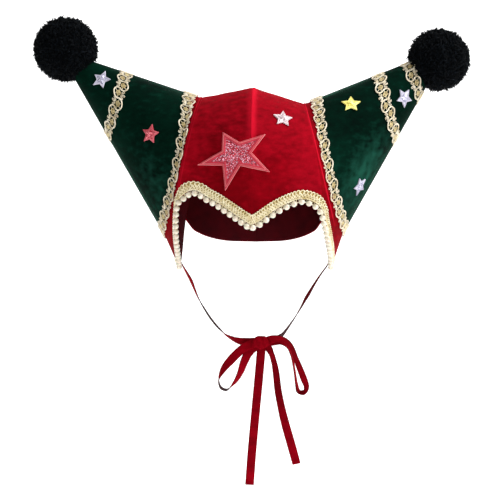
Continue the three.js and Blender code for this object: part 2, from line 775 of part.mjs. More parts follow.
function bigStar() {
  const outline = starOutline(BIG_STAR_CORNERS, 2);
  const outer = [];
  const inner = [];
  const add = (p, height) => {
    const x = BIG_STAR.x + p.x;
    const z = BIG_STAR.z + p.y;
    inner.push(frontPoint(x, z, BIG_STAR.stand));
    outer.push(frontPoint(x, z, BIG_STAR.stand + height));
  };
  outline.forEach((p) => add(p, BIG_STAR.thickness * 0.8));
  outline.forEach((p) => add(p.clone().multiplyScalar(0.8), BIG_STAR.thickness));
  outline.forEach((p) => add(p.clone().multiplyScalar(0.4), BIG_STAR.thickness));
  add(new THREE.Vector2(0, 0), BIG_STAR.thickness);
  const count = outline.length;
  const faces = grid(3, count, true).map(([a, b, c]) => [c, b, a]);
  for (let k = 0; k < count; k += 1) {
    faces.push([2 * count + k, 2 * count + ((k + 1) % count), 3 * count]);
  }
  return thicken(outer, inner, faces);
}

// Ribbons: a flat band swept along its route
function ribbon({ route, steps }) {
  const curve = new THREE.CatmullRomCurve3(route.map(({ x, y, z }) => vec(x, y, z)), false, 'centripetal');
  const outer = [];
  const inner = [];
  const edges = [-0.5, 0.5].map((edge) => edge * RIBBON_WIDTH);
  for (const edge of edges) {
    for (let k = 0; k <= steps; k += 1) {
      const t = k / steps;
      const tangent = curve.getTangent(t);
      const row = Math.min(Math.floor(t * (route.length - 1)), route.length - 2);
      const share = t * (route.length - 1) - row;
      const twist = radians(route[row].twist + (route[row + 1].twist - route[row].twist) * share);
      const flat = vec(0, 1, 0).cross(tangent).normalize();
      const deep = tangent.clone().cross(flat).normalize();
      const across = flat.multiplyScalar(Math.cos(twist)).addScaledVector(deep, Math.sin(twist));
      const normal = across.clone().cross(tangent).normalize();
      const point = curve.getPoint(t).addScaledVector(across, edge);
      outer.push(point.clone().addScaledVector(normal, RIBBON_THICKNESS / 2));
      inner.push(point.clone().addScaledVector(normal, -RIBBON_THICKNESS / 2));
    }
  }
  return thicken(outer, inner, grid(2, steps + 1, false));
}

function knot() {
  const shape = new THREE.SphereGeometry(1, KNOT.around, KNOT_PROFILE.length - 1);
  const places = shape.getAttribute('position');
  for (let k = 0; k < places.count; k += 1) {
    const { reach, y } = KNOT_PROFILE[Math.floor(k / (KNOT.around + 1))];
    const turn = (2 * Math.PI * (k % (KNOT.around + 1) % KNOT.around)) / KNOT.around;
    places.setXYZ(k, -Math.cos(turn) * reach * KNOT.width, y, Math.sin(turn) * reach * KNOT.height);
  }
  return shape;
}

for (const side of SIDES) {
  addPiece(`crown_${side.name}`, onSide(side, crownHalf(side)), RED_VELVET);
  addPiece(`side_panel_${side.name}`, onSide(side, sidePanel(side)), RED_VELVET);
  addPiece(`horn_${side.name}`, onSide(side, horn(side)), GREEN_VELVET);
  addPiece(`pompom_${side.name}`, pompom(side), BLACK_YARN);
  addPiece(`horn_${side.name}_base_braid`, onSide(side, scrollBraid(side, 0, 0.7)), CREAM_GOLD);
  for (const [place, along] of Object.entries(side.braids)) {
    addPiece(`horn_${side.name}_${place}_braid`, onSide(side, scrollBraid(side, along, 0.4)), CREAM_GOLD);
  }
}

const trim = trimStations();
addPiece('rim_braid', rimBraid(trim), YELLOW_GOLD);
addPiece('pearl_string', pearlString(trim), PEARL);
addPiece('star_big', bigStar(), PINK_PATCH);
SMALL_STARS.forEach(addSmallStar);

for (const [name, shape] of Object.entries(RIBBONS)) {
  addPiece(name, ribbon(shape), RED_VELVET);
}
addPiece('bow_knot', knot(), RED_VELVET).position.set(KNOT.x, 0, KNOT.z);

export default hat;
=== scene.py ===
# %% [markdown]
# # A jester hat with two stiff horns
#
# The packed solids are a plain model of the hat. In this lesson each solid gets a finer mesh that
# stands for it: velvet shells with real seams, braids laid cord by cord, fused pearls, faceted
# stars, yarn pompoms and a velvet chin ribbon. One way would be to subdivide the solids themselves.
# Drawing every surface again from the same few tables is better, because a braid can then be
# placed on the very curve that the velvet follows.

# %% Load the packed hat
import json
import math

import bpy
import numpy as np
from mathutils import Vector, noise
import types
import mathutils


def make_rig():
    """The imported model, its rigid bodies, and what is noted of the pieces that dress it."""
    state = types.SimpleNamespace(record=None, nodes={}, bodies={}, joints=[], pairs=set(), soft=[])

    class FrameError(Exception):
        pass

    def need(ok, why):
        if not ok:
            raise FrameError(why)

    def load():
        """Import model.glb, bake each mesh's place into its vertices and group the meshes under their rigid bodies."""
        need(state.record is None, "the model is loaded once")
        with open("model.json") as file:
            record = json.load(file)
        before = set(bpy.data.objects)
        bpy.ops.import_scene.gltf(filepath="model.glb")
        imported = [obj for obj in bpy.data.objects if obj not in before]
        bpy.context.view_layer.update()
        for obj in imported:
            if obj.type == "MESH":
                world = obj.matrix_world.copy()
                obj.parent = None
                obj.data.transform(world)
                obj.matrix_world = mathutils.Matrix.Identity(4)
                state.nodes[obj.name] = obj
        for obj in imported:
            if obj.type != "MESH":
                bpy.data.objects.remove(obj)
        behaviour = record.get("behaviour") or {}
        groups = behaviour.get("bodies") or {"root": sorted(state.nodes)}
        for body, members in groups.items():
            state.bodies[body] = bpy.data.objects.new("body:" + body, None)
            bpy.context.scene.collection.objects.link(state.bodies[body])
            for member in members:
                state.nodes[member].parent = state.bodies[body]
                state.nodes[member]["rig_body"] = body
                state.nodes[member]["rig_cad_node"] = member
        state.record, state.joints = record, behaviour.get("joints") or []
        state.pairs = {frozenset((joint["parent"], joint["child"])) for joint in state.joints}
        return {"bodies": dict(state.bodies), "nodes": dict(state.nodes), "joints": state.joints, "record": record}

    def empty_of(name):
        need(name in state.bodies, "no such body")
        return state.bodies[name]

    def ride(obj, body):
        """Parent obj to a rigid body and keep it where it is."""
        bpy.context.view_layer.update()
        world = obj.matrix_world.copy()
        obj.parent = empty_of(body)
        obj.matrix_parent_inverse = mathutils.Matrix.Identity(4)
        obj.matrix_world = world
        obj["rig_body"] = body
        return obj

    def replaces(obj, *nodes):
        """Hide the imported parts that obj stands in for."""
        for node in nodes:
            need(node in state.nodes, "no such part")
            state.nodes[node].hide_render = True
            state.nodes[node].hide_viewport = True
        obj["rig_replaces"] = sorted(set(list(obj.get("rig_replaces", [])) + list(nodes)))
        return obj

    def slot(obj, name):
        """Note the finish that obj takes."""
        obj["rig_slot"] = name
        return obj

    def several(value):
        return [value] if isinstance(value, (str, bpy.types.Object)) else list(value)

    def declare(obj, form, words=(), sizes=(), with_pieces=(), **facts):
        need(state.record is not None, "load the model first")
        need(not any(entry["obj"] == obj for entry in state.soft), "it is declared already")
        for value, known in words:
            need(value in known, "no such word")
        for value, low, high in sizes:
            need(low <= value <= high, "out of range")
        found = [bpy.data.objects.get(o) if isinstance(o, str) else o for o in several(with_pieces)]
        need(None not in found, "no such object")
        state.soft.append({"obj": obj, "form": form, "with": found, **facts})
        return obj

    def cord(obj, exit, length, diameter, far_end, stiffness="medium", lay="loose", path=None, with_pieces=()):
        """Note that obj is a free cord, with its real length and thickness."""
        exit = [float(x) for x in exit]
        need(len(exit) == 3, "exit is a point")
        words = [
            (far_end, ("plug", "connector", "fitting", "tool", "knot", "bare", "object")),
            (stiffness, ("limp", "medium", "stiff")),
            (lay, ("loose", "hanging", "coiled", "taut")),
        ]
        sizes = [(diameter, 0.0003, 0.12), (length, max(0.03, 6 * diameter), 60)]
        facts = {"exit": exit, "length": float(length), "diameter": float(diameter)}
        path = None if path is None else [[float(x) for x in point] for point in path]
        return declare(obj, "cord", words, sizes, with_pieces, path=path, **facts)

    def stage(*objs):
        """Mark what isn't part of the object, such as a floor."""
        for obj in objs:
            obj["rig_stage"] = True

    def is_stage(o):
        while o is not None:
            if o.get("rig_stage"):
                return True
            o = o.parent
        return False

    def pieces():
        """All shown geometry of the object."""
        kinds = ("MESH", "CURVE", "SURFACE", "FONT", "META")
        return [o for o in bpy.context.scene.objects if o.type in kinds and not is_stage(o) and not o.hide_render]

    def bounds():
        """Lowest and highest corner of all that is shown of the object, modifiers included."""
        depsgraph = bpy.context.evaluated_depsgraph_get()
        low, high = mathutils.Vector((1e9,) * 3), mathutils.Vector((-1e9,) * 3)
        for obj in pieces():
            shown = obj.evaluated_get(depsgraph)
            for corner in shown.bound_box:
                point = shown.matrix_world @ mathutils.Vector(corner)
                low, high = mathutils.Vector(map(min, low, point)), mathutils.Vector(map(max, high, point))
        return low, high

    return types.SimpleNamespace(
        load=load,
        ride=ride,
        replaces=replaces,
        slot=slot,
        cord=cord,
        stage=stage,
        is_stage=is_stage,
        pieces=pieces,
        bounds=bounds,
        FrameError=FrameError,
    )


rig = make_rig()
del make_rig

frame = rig.load()
solid_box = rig.bounds()
scene = bpy.context.scene
MM = 0.001
print("solids in the frame:", len(frame["nodes"]))

# %% [markdown]
# ## The camera
#
# The picture was taken from almost straight ahead, from a little under two metres away, so the
# lens is long and the perspective weak. The focal length follows from the width of the frame at the
# middle of the hat, which is easier to judge than an angle.

# %% Camera
CAMERA_TURN = math.radians(2.0)
CAMERA_DISTANCE = 1.9
FRAME_WIDTH = 0.56
PICTURE_CENTRE = Vector((-0.0041, 0.0, -0.0616))

lens = bpy.data.cameras.new("camera")
lens.sensor_width = 36
lens.lens = lens.sensor_width * CAMERA_DISTANCE / FRAME_WIDTH
camera = bpy.data.objects.new("camera", lens)
camera_side = Vector((math.sin(CAMERA_TURN), -math.cos(CAMERA_TURN), 0))
camera.location = PICTURE_CENTRE + camera_side * CAMERA_DISTANCE
camera.rotation_euler = (math.pi / 2, 0, CAMERA_TURN)
scene.collection.objects.link(camera)
scene.camera = camera
print(f"lens: {lens.lens:.0f} mm")

# %% [markdown]
# ## Arithmetic on sockets
#
# A finish such as velvet is a sum of several noises. Wiring Math nodes by hand hides that sum, so
# a small class wraps a socket and turns `patches * 1.7 + streaks` into nodes. Colours go through a
# Mix node, because a Math node would turn them grey.

# %% Arithmetic on sockets
class Flow:
    """A socket among a material's nodes, usable in arithmetic."""

    def __init__(self, tree, socket=None):
        self.tree = tree
        self.socket = socket

    def node(self, kind, settings, sockets, output=0):
        made = self.tree.nodes.new("ShaderNode" + kind)
        for name, value in settings.items():
            setattr(made, name, value)
        for name, value in sockets.items():
            if isinstance(value, Flow):
                self.tree.links.new(value.socket, made.inputs[name])
            else:
                made.inputs[name].default_value = value
        return Flow(self.tree, made.outputs[output])

    def math(self, operation, first, second=0.0):
        return self.node("Math", {"operation": operation}, {0: first, 1: second})

    def __add__(self, other):
        return self.math("ADD", self, other)

    def __sub__(self, other):
        return self.math("SUBTRACT", self, other)

    def __mul__(self, other):
        return self.math("MULTIPLY", self, other)

    def here(self):
        """The place in metres."""
        return self.node("TexCoord", {}, {}, "Object")

    def clouds(self, place, scale, detail):
        return self.node("TexNoise", {}, {"Vector": place, "Scale": scale, "Detail": detail})

    def between(self, low, high):
        """0 at low, 1 at high, and clamped."""
        return self.node("MapRange", {}, {"Value": self, "From Min": low, "From Max": high})

    def mix(self, low, high):
        """The colour low where this is 0 and high where it is 1. A Mix node's colours are 6 and 7."""
        return self.node("Mix", {"data_type": "RGBA"}, {0: self, 6: low, 7: high}, 2)

    def bump(self, strength, distance):
        sockets = {"Strength": strength, "Distance": distance, "Height": self}
        return self.node("Bump", {}, sockets, "Normal")


print("a socket can:", ", ".join(name for name in vars(Flow) if not name.startswith("_")))

# %% Starting and feeding a finish
def srgb(red, green, blue):
    """A screen colour from 0 to 255 as the linear colour that Blender works in."""
    shares = [value / 255 for value in (red, green, blue)]
    linear = [s / 12.92 if s <= 0.04045 else ((s + 0.055) / 1.055) ** 2.4 for s in shares]
    return (*linear, 1.0)


def start_finish(name, constants):
    """A new Principled material with its constant sockets set, and a Flow to build its nodes from."""
    material = bpy.data.materials.new(name)
    material.use_nodes = True
    shader = material.node_tree.nodes["Principled BSDF"]
    for socket, value in constants.items():
        shader.inputs[socket].default_value = value
    return material, Flow(material.node_tree)


def feed(material, varying):
    """Links what varies over the surface into the material's shader."""
    shader = material.node_tree.nodes["Principled BSDF"]
    for socket, flow in varying.items():
        material.node_tree.links.new(flow.socket, shader.inputs[socket])
    return material


print("screen grey 128 is", round(srgb(128, 128, 128)[0], 3), "in linear light")

# %% [markdown]
# ## Velvet
#
# Velvet is a pile of short upright threads. Looked at straight on it swallows light, and at a
# grazing angle the sides of the threads shine, which is what the Sheen sockets are for. Where a
# hand has brushed it the pile leans and the tone changes, so two noises, broad patches and fine
# streaks, mix a deep and a lit colour. A per-point attribute mixes in a third, paler colour. It marks
# pressed pile at seams, folds, the hem and the ribbon's edges, and it is also painted light: a
# painted highlight along seam ridges and folds, a painted paler top and outer side of the crown,
# and a patch of painted sheen low on the front of each horn.

# %% Velvet
def velvet(name, deep, lit, pressed, sheen, sheen_tint):
    constants = {
        "Specular IOR Level": 0.02,
        "Sheen Weight": sheen,
        "Sheen Roughness": 0.16,
        "Sheen Tint": sheen_tint,
    }
    material, start = start_finish(name, constants)
    place = start.here()
    nap = start.node("Mapping", {}, {"Vector": place, "Scale": (0.6, 0.6, 1.0)})
    patches = start.clouds(nap, 17.0, 3.0)
    streaks = start.clouds(nap, 190.0, 4.0)
    # The attribute read here is partly pressed pile and partly painted light: painted highlights on seams and folds, a
    # painted lit top and side of the crown, painted sheen on the horns.
    crush = start.node("Attribute", {"attribute_name": "crush"}, {}, "Fac")
    tone = patches * 1.7 + streaks * 1.1 - 0.95
    nap_colour = tone.between(0.0, 1.0).mix(deep, lit)
    pile = start.clouds(place, 1500.0, 3.0)
    varying = {
        "Base Color": (crush + streaks * 0.36 - 0.18).between(0.03, 1.0).mix(nap_colour, pressed),
        "Roughness": streaks * 0.2 + 0.75,
        "Normal": (pile + streaks * 0.6).bump(0.35, 0.0006),
    }
    return feed(material, varying)


# The third colour given to each velvet is pressed pile, and on the hat also painted light: highlights on seams and
# folds, a lit crown top and side, a sheen patch on the horns.
red_velvet = velvet(
    "red_velvet", srgb(90, 0, 6), srgb(138, 2, 16), srgb(200, 18, 42), 0.14, srgb(255, 30, 54)
)
green_velvet = velvet(
    "green_velvet", srgb(0, 12, 7), srgb(1, 33, 22), srgb(30, 88, 72), 0.3, srgb(110, 215, 175)
)
ribbon_velvet = velvet(
    "ribbon_velvet", srgb(96, 0, 8), srgb(142, 2, 19), srgb(120, 2, 16), 0.08, srgb(255, 26, 50)
)
print("velvets:", red_velvet.name, green_velvet.name, ribbon_velvet.name)

# %% [markdown]
# ## Lining and ribbon back
#
# Inside, the hat is lined with plain woven cotton, and the ribbon's wrong side is a tight satin
# weave. A weave is two sets of fine ridges across each other. Sines of the place are enough for
# that, and they need no unwrapping.

# %% Plain weave
def weave(name, deep, lit, threads, roughness):
    material, start = start_finish(name, {"Specular IOR Level": 0.1})
    place = start.here()
    axes = [start.node("SeparateXYZ", {}, {"Vector": place}, axis) for axis in "XYZ"]
    warp = start.math("SINE", (axes[0] + axes[1]) * threads)
    weft = start.math("SINE", axes[2] * threads)
    slubs = start.clouds(place, 60.0, 4.0)
    varying = {
        "Base Color": (slubs * 1.6 - 0.3).between(0.0, 1.0).mix(deep, lit),
        "Roughness": slubs * 0.2 + roughness,
        "Normal": (warp * weft).bump(0.4, 0.0003),
    }
    return feed(material, varying)


lining = weave("lining", srgb(54, 2, 9), srgb(84, 5, 15), 6000.0, 0.8)
ribbon_back = weave("ribbon_back", srgb(34, 4, 9), srgb(58, 6, 13), 9000.0, 0.6)
print("weaves:", lining.name, ribbon_back.name)

# %% [markdown]
# ## Braid thread
#
# The braids are wound from a shiny thread around a core, so each cord has fine slanting ridges.
# Every cord made below carries a UV map with its length in millimetres along U and one turn around
# it along V. The sine of a sum of the two is a twist.

# %% Braid thread
def thread(name, dark, bright, metallic, roughness):
    material, start = start_finish(name, {"Metallic": metallic, "Sheen Weight": 0.15})
    unwrapped = start.node("TexCoord", {}, {}, "UV")
    along, around = (start.node("SeparateXYZ", {}, {"Vector": unwrapped}, axis) for axis in "XY")
    twist = start.math("SINE", along * 4.8 + around * (2 * math.pi))
    place = start.here()
    dye = start.clouds(place, 240.0, 3.0)
    varying = {
        # The twist in the colour paints each ridge of the thread lighter and each groove darker: a painted highlight
        # and painted shade.
        "Base Color": (dye + twist * 0.14).between(0.25, 0.7).mix(dark, bright),
        "Roughness": dye * 0.25 + roughness,
        "Normal": twist.bump(0.5, 0.0002),
    }
    return feed(material, varying)


scroll_thread = thread("scroll_thread", srgb(182, 162, 116), srgb(246, 238, 218), 0.05, 0.3)
scroll_core = thread("scroll_core", srgb(162, 136, 78), srgb(230, 212, 156), 0.1, 0.3)
rim_thread = thread("rim_thread", srgb(200, 172, 92), srgb(255, 249, 222), 0.08, 0.25)
# A darker tape laid under the rim braid's cords: painted shade that shows between them.
rim_shade_tape = thread("rim_shade_tape", srgb(128, 104, 46), srgb(180, 154, 78), 0.1, 0.5)
print("threads:", scroll_thread.name, scroll_core.name, rim_thread.name, rim_shade_tape.name)

# %% [markdown]
# ## Pearl, yarn, patch and glitter
#
# An imitation pearl is cream paint under clear lacquer. The yarn is matt and nearly black, and
# where its fluff noise stands highest it is painted a paler blue-grey, as painted glints. The big
# patch is embossed imitation leather. Glitter is a bed of tiny flakes: a Voronoi cell is one flake,
# with a colour of its own and, through the Normal socket, a tilt of its own, so that it sparkles
# without a picture. A few flakes take a pale colour, which is painted glints.

# %% Pearl and yarn
def pearl_finish():
    constants = {"Coat Roughness": 0.06, "Subsurface Weight": 0.15, "Subsurface Scale": 0.002}
    material, start = start_finish("pearl", constants)
    place = start.here()
    cloud = start.clouds(place, 320.0, 2.0)
    varying = {
        "Base Color": cloud.between(0.3, 0.7).mix(srgb(190, 178, 154), srgb(222, 213, 196)),
        "Roughness": cloud * 0.15 + 0.18,
        "Coat Weight": cloud * 0.4 + 0.4,
    }
    return feed(material, varying)


def yarn_finish():
    material, start = start_finish("black_yarn", {"Specular IOR Level": 0.06})
    place = start.here()
    fluff = start.clouds(place, 420.0, 3.0)
    varying = {
        # Where the fluff noise is highest the yarn turns a paler blue-grey: painted glints.
        "Base Color": fluff.between(0.45, 0.75).mix(srgb(0, 1, 2), srgb(13, 19, 25)),
        "Roughness": fluff * 0.3 + 0.6,
        "Normal": fluff.bump(0.6, 0.0008),
    }
    return feed(material, varying)


pearl = pearl_finish()
black_yarn = yarn_finish()
print("made:", pearl.name, black_yarn.name)

# %% Patch and glitter
def embossed(name, dark, bright, roughness):
    material, start = start_finish(name, {"Specular IOR Level": 0.3})
    place = start.here()
    grain = start.node("TexVoronoi", {}, {"Vector": place, "Scale": 900.0}, "Distance")
    wear = start.clouds(place, 90.0, 4.0)
    varying = {
        "Base Color": (wear * 1.3 - 0.15).between(0.1, 0.9).mix(dark, bright),
        "Roughness": wear * 0.25 + roughness,
        "Normal": grain.bump(0.35, 0.0003),
    }
    return feed(material, varying)


def glitter(name, main, second, painted_glint, flakes, tilt):
    material, start = start_finish(name, {"Metallic": 0.25, "Coat Weight": 0.3, "Coat Roughness": 0.08})
    place = start.here()
    cell = start.node("TexVoronoi", {}, {"Vector": place, "Scale": flakes}, "Color")
    chances = [start.node("SeparateColor", {}, {"Color": cell}, channel) for channel in range(3)]
    bed = chances[0].between(0.4, 0.6).mix(main, second)
    straight = start.node("NewGeometry", {}, {}, "Normal")
    lean = start.node("VectorMath", {"operation": "SUBTRACT"}, {0: cell, 1: (0.5, 0.5, 0.5)})
    lean = start.node("VectorMath", {"operation": "SCALE"}, {0: lean, "Scale": tilt})
    tilted = start.node("VectorMath", {"operation": "ADD"}, {0: straight, 1: lean})
    varying = {
        # A few flakes take the pale colour: painted glints.
        "Base Color": chances[1].between(0.78, 0.84).mix(bed, painted_glint),
        "Roughness": chances[2] * 0.3 + 0.15,
        "Normal": start.node("VectorMath", {"operation": "NORMALIZE"}, {0: tilted}),
    }
    return feed(material, varying)


pink_patch = embossed("pink_patch", srgb(150, 22, 42), srgb(188, 46, 64), 0.4)
patch_edge = embossed("patch_edge", srgb(196, 92, 98), srgb(222, 140, 138), 0.5)
# The glitter's third colour is its painted glints.
patch_glitter = glitter(
    "patch_glitter", srgb(108, 10, 36), srgb(184, 14, 42), srgb(226, 170, 190), 1600.0, 1.0
)
print("made:", pink_patch.name, patch_edge.name, patch_glitter.name)

# %% [markdown]
# ## Gathering a piece strand by strand
#
# A braid is thousands of short tubes, and a Blender object for each would be slow. A Bundle
# gathers the points and faces of one piece as arrays, in millimetres. Then `add_piece` turns it
# into one mesh, tells the frame which body carries it, and which solid it stands for.

# %% Small helpers
def unit(vectors):
    return vectors / np.linalg.norm(vectors, axis=-1, keepdims=True)


def alike(*values):
    """The values as arrays of one common shape."""
    return np.broadcast_arrays(*(np.asarray(value, float) for value in values))


def distance_along(path):
    return np.concatenate([[0.0], np.cumsum(np.linalg.norm(np.diff(path, axis=0), axis=1))])


def smoothstep(value, low, high):
    t = np.clip((value - low) / (high - low), 0, 1)
    return t * t * (3 - 2 * t)


def smoothed(values, width):
    kernel = np.exp(-np.linspace(-2, 2, 4 * width + 1) ** 2)
    padded = np.concatenate([values[:1]] * (2 * width) + [values] + [values[-1:]] * (2 * width))
    return np.stack([np.convolve(axis, kernel / kernel.sum(), "valid") for axis in padded.T], 1)


def grid_faces(columns, rows, ringed=False, looped=False):
    """Quads of a grid, with the column and row of each corner before they wrap round."""
    i, j = np.meshgrid(
        np.arange(columns if looped else columns - 1),
        np.arange(rows if ringed else rows - 1),
        indexing="ij",
    )
    i, j = i.reshape(-1, 1), j.reshape(-1, 1)
    column = np.hstack([i, i + 1, i + 1, i])
    row = np.hstack([j, j, j + 1, j + 1])
    return (column % columns) * rows + row % rows, column, row


print("a grid of 3 by 4 points has", len(grid_faces(3, 4)[0]), "faces")

# %% Bundle
class Bundle:
    """Points and faces of one piece, in millimetres."""

    def __init__(self):
        self.points = []
        self.faces = []
        self.finishes = []
        self.unwrapped = []
        self.crush = []
        self.count = 0

    def add_points(self, points, crush=0.0):
        points = np.reshape(points, (-1, 3))
        first = self.count
        self.points.append(points)
        self.crush.append(np.broadcast_to(np.ravel(crush), len(points)))
        self.count += len(points)
        return first

    def add_faces(self, faces, finish=0, unwrapped=None):
        faces = np.asarray(faces)
        self.faces.append(faces)
        self.finishes.append(np.full(len(faces), finish))
        self.unwrapped.append(np.zeros((faces.size, 2)) if unwrapped is None else unwrapped.reshape(-1, 2))

    def close_ends(self, first, columns, rows, finish=0, turned=False):
        """Caps both ends of a ringed grid; turned if its faces are listed the other way round."""
        ring = np.arange(rows)
        ends = np.array([ring, ring[::-1] + (columns - 1) * rows]) + first
        self.add_faces(ends[:, ::-1] if turned else ends, finish)

    def tube(self, path, up, radius, sides=6, looped=False, finish=0):
        """A round cord along a path; up is any direction that is never along it."""
        path = np.asarray(path, float)
        if looped:
            ahead = unit(np.roll(path, -1, 0) - np.roll(path, 1, 0))
        else:
            ahead = unit(np.gradient(path, axis=0))
        beside = unit(np.cross(ahead, up))
        over = np.cross(beside, ahead)
        turn = np.linspace(0, 2 * np.pi, sides, endpoint=False)[:, None]
        spokes = beside[:, None] * np.cos(turn) + over[:, None] * np.sin(turn)
        first = self.add_points(path[:, None] + spokes * np.broadcast_to(radius, len(path))[:, None, None])
        faces, column, row = grid_faces(len(path), sides, True, looped)
        length = distance_along(np.vstack([path, path[:1]]))
        self.add_faces(faces + first, finish, np.stack([length[column], row / sides], -1))
        if not looped:
            self.close_ends(first, len(path), sides, finish)

    def shell(self, outer, inner, ringed, crush):
        """A closed cloth wall between two grids of points, with its second finish inside."""
        columns, rows = outer.shape[:2]
        count = columns * rows
        first = self.add_points(outer, crush)
        self.add_points(inner)
        faces = grid_faces(columns, rows, ringed)[0] + first
        self.add_faces(faces)
        self.add_faces(faces[:, ::-1] + count, 1)
        index = np.arange(count).reshape(columns, rows) + first
        if ringed:
            index = np.hstack([index, index[:, :1]])
        borders = [(index[-1, :-1], index[-1, 1:]), (index[0, 1:], index[0, :-1])]
        if not ringed:
            borders += [(index[:-1, 0], index[1:, 0]), (index[1:, -1], index[:-1, -1])]
        for start, stop in borders:
            self.add_faces(np.stack([stop, start, start + count, stop + count], 1))

    def on_side(self, side):
        """The piece on its own side of the hat: all are drawn on the right and mirrored for the left."""
        if side["sign"] > 0:
            return self
        self.points = [points * side["flip"] for points in self.points]
        corners = [uv.reshape(len(faces), -1, 2) for uv, faces in zip(self.unwrapped, self.faces)]
        self.unwrapped = [uv[:, ::-1].reshape(-1, 2) for uv in corners]
        self.faces = [faces[:, ::-1] for faces in self.faces]
        return self


print("a bundle can:", ", ".join(name for name in vars(Bundle) if not name.startswith("_")))

# %% One mesh for a piece
def add_piece(name, bundle, finishes, slot, *nodes, crisp=180):
    """Makes the bundle one mesh that rides on the hat and stands for the nodes."""
    mesh = bpy.data.meshes.new(name)
    faces = [face for block in bundle.faces for face in block.tolist()]
    mesh.from_pydata((np.concatenate(bundle.points) * MM).tolist(), [], faces)
    for finish in finishes:
        mesh.materials.append(finish)
    mesh.polygons.foreach_set("material_index", np.concatenate(bundle.finishes))
    mesh.uv_layers.new(name="unwrapped").data.foreach_set("uv", np.concatenate(bundle.unwrapped).ravel())
    crush = mesh.attributes.new("crush", "FLOAT", "POINT")
    crush.data.foreach_set("value", np.concatenate(bundle.crush))
    mesh.polygons.foreach_set("use_smooth", np.ones(len(faces), bool))
    if crisp < 180:
        mesh.set_sharp_from_angle(angle=math.radians(crisp))
    mesh.validate()
    piece = bpy.data.objects.new(name, mesh)
    scene.collection.objects.link(piece)
    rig.ride(piece, "root")
    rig.slot(piece, slot)
    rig.replaces(piece, *nodes)
    print(f"{name}: {sum(len(face) - 2 for face in faces)} triangles")
    return piece


print("pieces to make:", len(frame["nodes"]))

# %% [markdown]
# ## The chin ribbon and its bow
#
# The hat is tied under the chin with a velvet ribbon, 9.6 mm wide. Two ties leave the tips of the
# ear flaps and meet in a knot with two loops and two tails. A cloth simulation of a bow takes many
# tries to land where the picture has it, so each ribbon is swept along a route instead. A route's
# rows are x, y, z in millimetres and the twist: 0 shows the face from the front and 90 the edge.

# %% Ribbon routes
RIBBON_WIDTH = 9.6
RIBBON_THICKNESS = 0.9
RIBBON_ROUTES = {
    "tie_left": [
        (-85.3, -1, -66, 90), (-79.4, -1, -79, 82), (-74.4, -2, -88, 72), (-69.4, -5, -97, 67),
        (-62, -12, -113, 80), (-56, -18, -123.6, 92), (-47.2, -25, -136.6, 96), (-36, -32, -149, 95),
        (-28.2, -37, -155.8, 76), (-16, -40.6, -161, 44), (-5, -42, -162.4, 14),
        (2.7, -42.2, -162.4, 0),
    ],
    "tie_right": [
        (87.8, -1, -66, 90), (82.2, -1, -79, 88), (76.2, -2, -87, 86), (70, -5, -96, 80),
        (60, -13, -113, 70), (54, -18, -123.5, 82), (41.8, -27.5, -143, 98), (32.4, -35.5, -155, 112),
        (25.6, -39.6, -159.8, 145), (16.3, -41.4, -161.6, 178),
    ],
    "bow_loop_left": [
        (2.6, -48.9, -162.8, 0), (-9, -50.5, -168.4, 8), (-22, -55, -180.2, 14), (-31.6, -56, -192, 50),
        (-36.2, -54, -203, 88), (-34, -52, -211.6, 101), (-27.6, -51, -214, 100), (-19.2, -50, -206, 68),
        (-13.4, -49.5, -196, 50), (-8.9, -49, -184, 28), (-4, -48, -174, 9), (3.9, -47.2, -165.9, 0),
    ],
    "bow_loop_right": [
        (16, -48.8, -161.2, 0), (23, -50.5, -158.6, 25), (31, -53, -158, 50), (38.5, -55, -161.4, 58),
        (43.5, -56.5, -168, 60), (47, -58, -177.4, 56), (51.3, -58.5, -188, 47), (56.2, -58, -201, 41),
        (58.8, -56, -210.4, 52), (56, -53, -216, 62), (50.6, -50, -215.2, 66),
        (48.2, -47.5, -207.4, 74), (46.8, -45.5, -197.4, 79), (45.4, -44.8, -188, 79),
        (43.2, -45, -177, 76), (38.8, -45.6, -166.6, 66), (31, -46, -161.6, 50),
        (23, -46.4, -161.4, 22), (16.1, -46.8, -162.4, 0),
    ],
    "bow_tail_left": [
        (10, -45.6, -167.8, 0), (7.7, -47, -195, 2), (3.4, -48, -241, 0), (-0.2, -48, -280.6, -6),
        (-3, -48, -318, -10),
    ],
    "bow_tail_right": [
        (14.6, -43, -166.5, 8), (18, -43.2, -169.4, 32), (21, -44.6, -175, 52),
        (24.1, -46.6, -185.3, 50), (25.8, -48, -195, 42), (28.4, -49, -215, 36), (32, -49, -234, 30),
        (34.8, -49, -246, 20), (42.6, -48, -274, 8), (48.4, -47, -295.2, 20),
    ],
}


def route_curve(points, steps):
    """A smooth line through the points (centripetal Catmull-Rom), and where each step is among them."""
    ends = np.vstack([2 * points[0] - points[1], points, 2 * points[-1] - points[-2]])
    at = np.linspace(0, len(points) - 1, steps)
    row = np.minimum(at.astype(int), len(points) - 2)
    t = (at - row)[:, None]
    p0, p1, p2, p3 = (ends[row + k] for k in range(4))
    spans = ((p0, p1), (p1, p2), (p2, p3))
    d0, d1, d2 = (np.linalg.norm(b - a, axis=1, keepdims=True) ** 0.5 for a, b in spans)
    leave = ((p1 - p0) / d0 - (p2 - p0) / (d0 + d1) + (p2 - p1) / d1) * d1
    arrive = ((p2 - p1) / d1 - (p3 - p1) / (d1 + d2) + (p3 - p2) / d2) * d1
    bend = -3 * p1 + 3 * p2 - 2 * leave - arrive
    return p1 + leave * t + bend * t**2 + (2 * p1 - 2 * p2 + leave + arrive) * t**3, at


print("ribbons:", ", ".join(RIBBON_ROUTES))

# %% [markdown]
# A ribbon's section is a thin bar with round woven edges that stand a little proud of the pile.
# Sweeping it by hand, and not with a curve's bevel, keeps the twist where the route says.

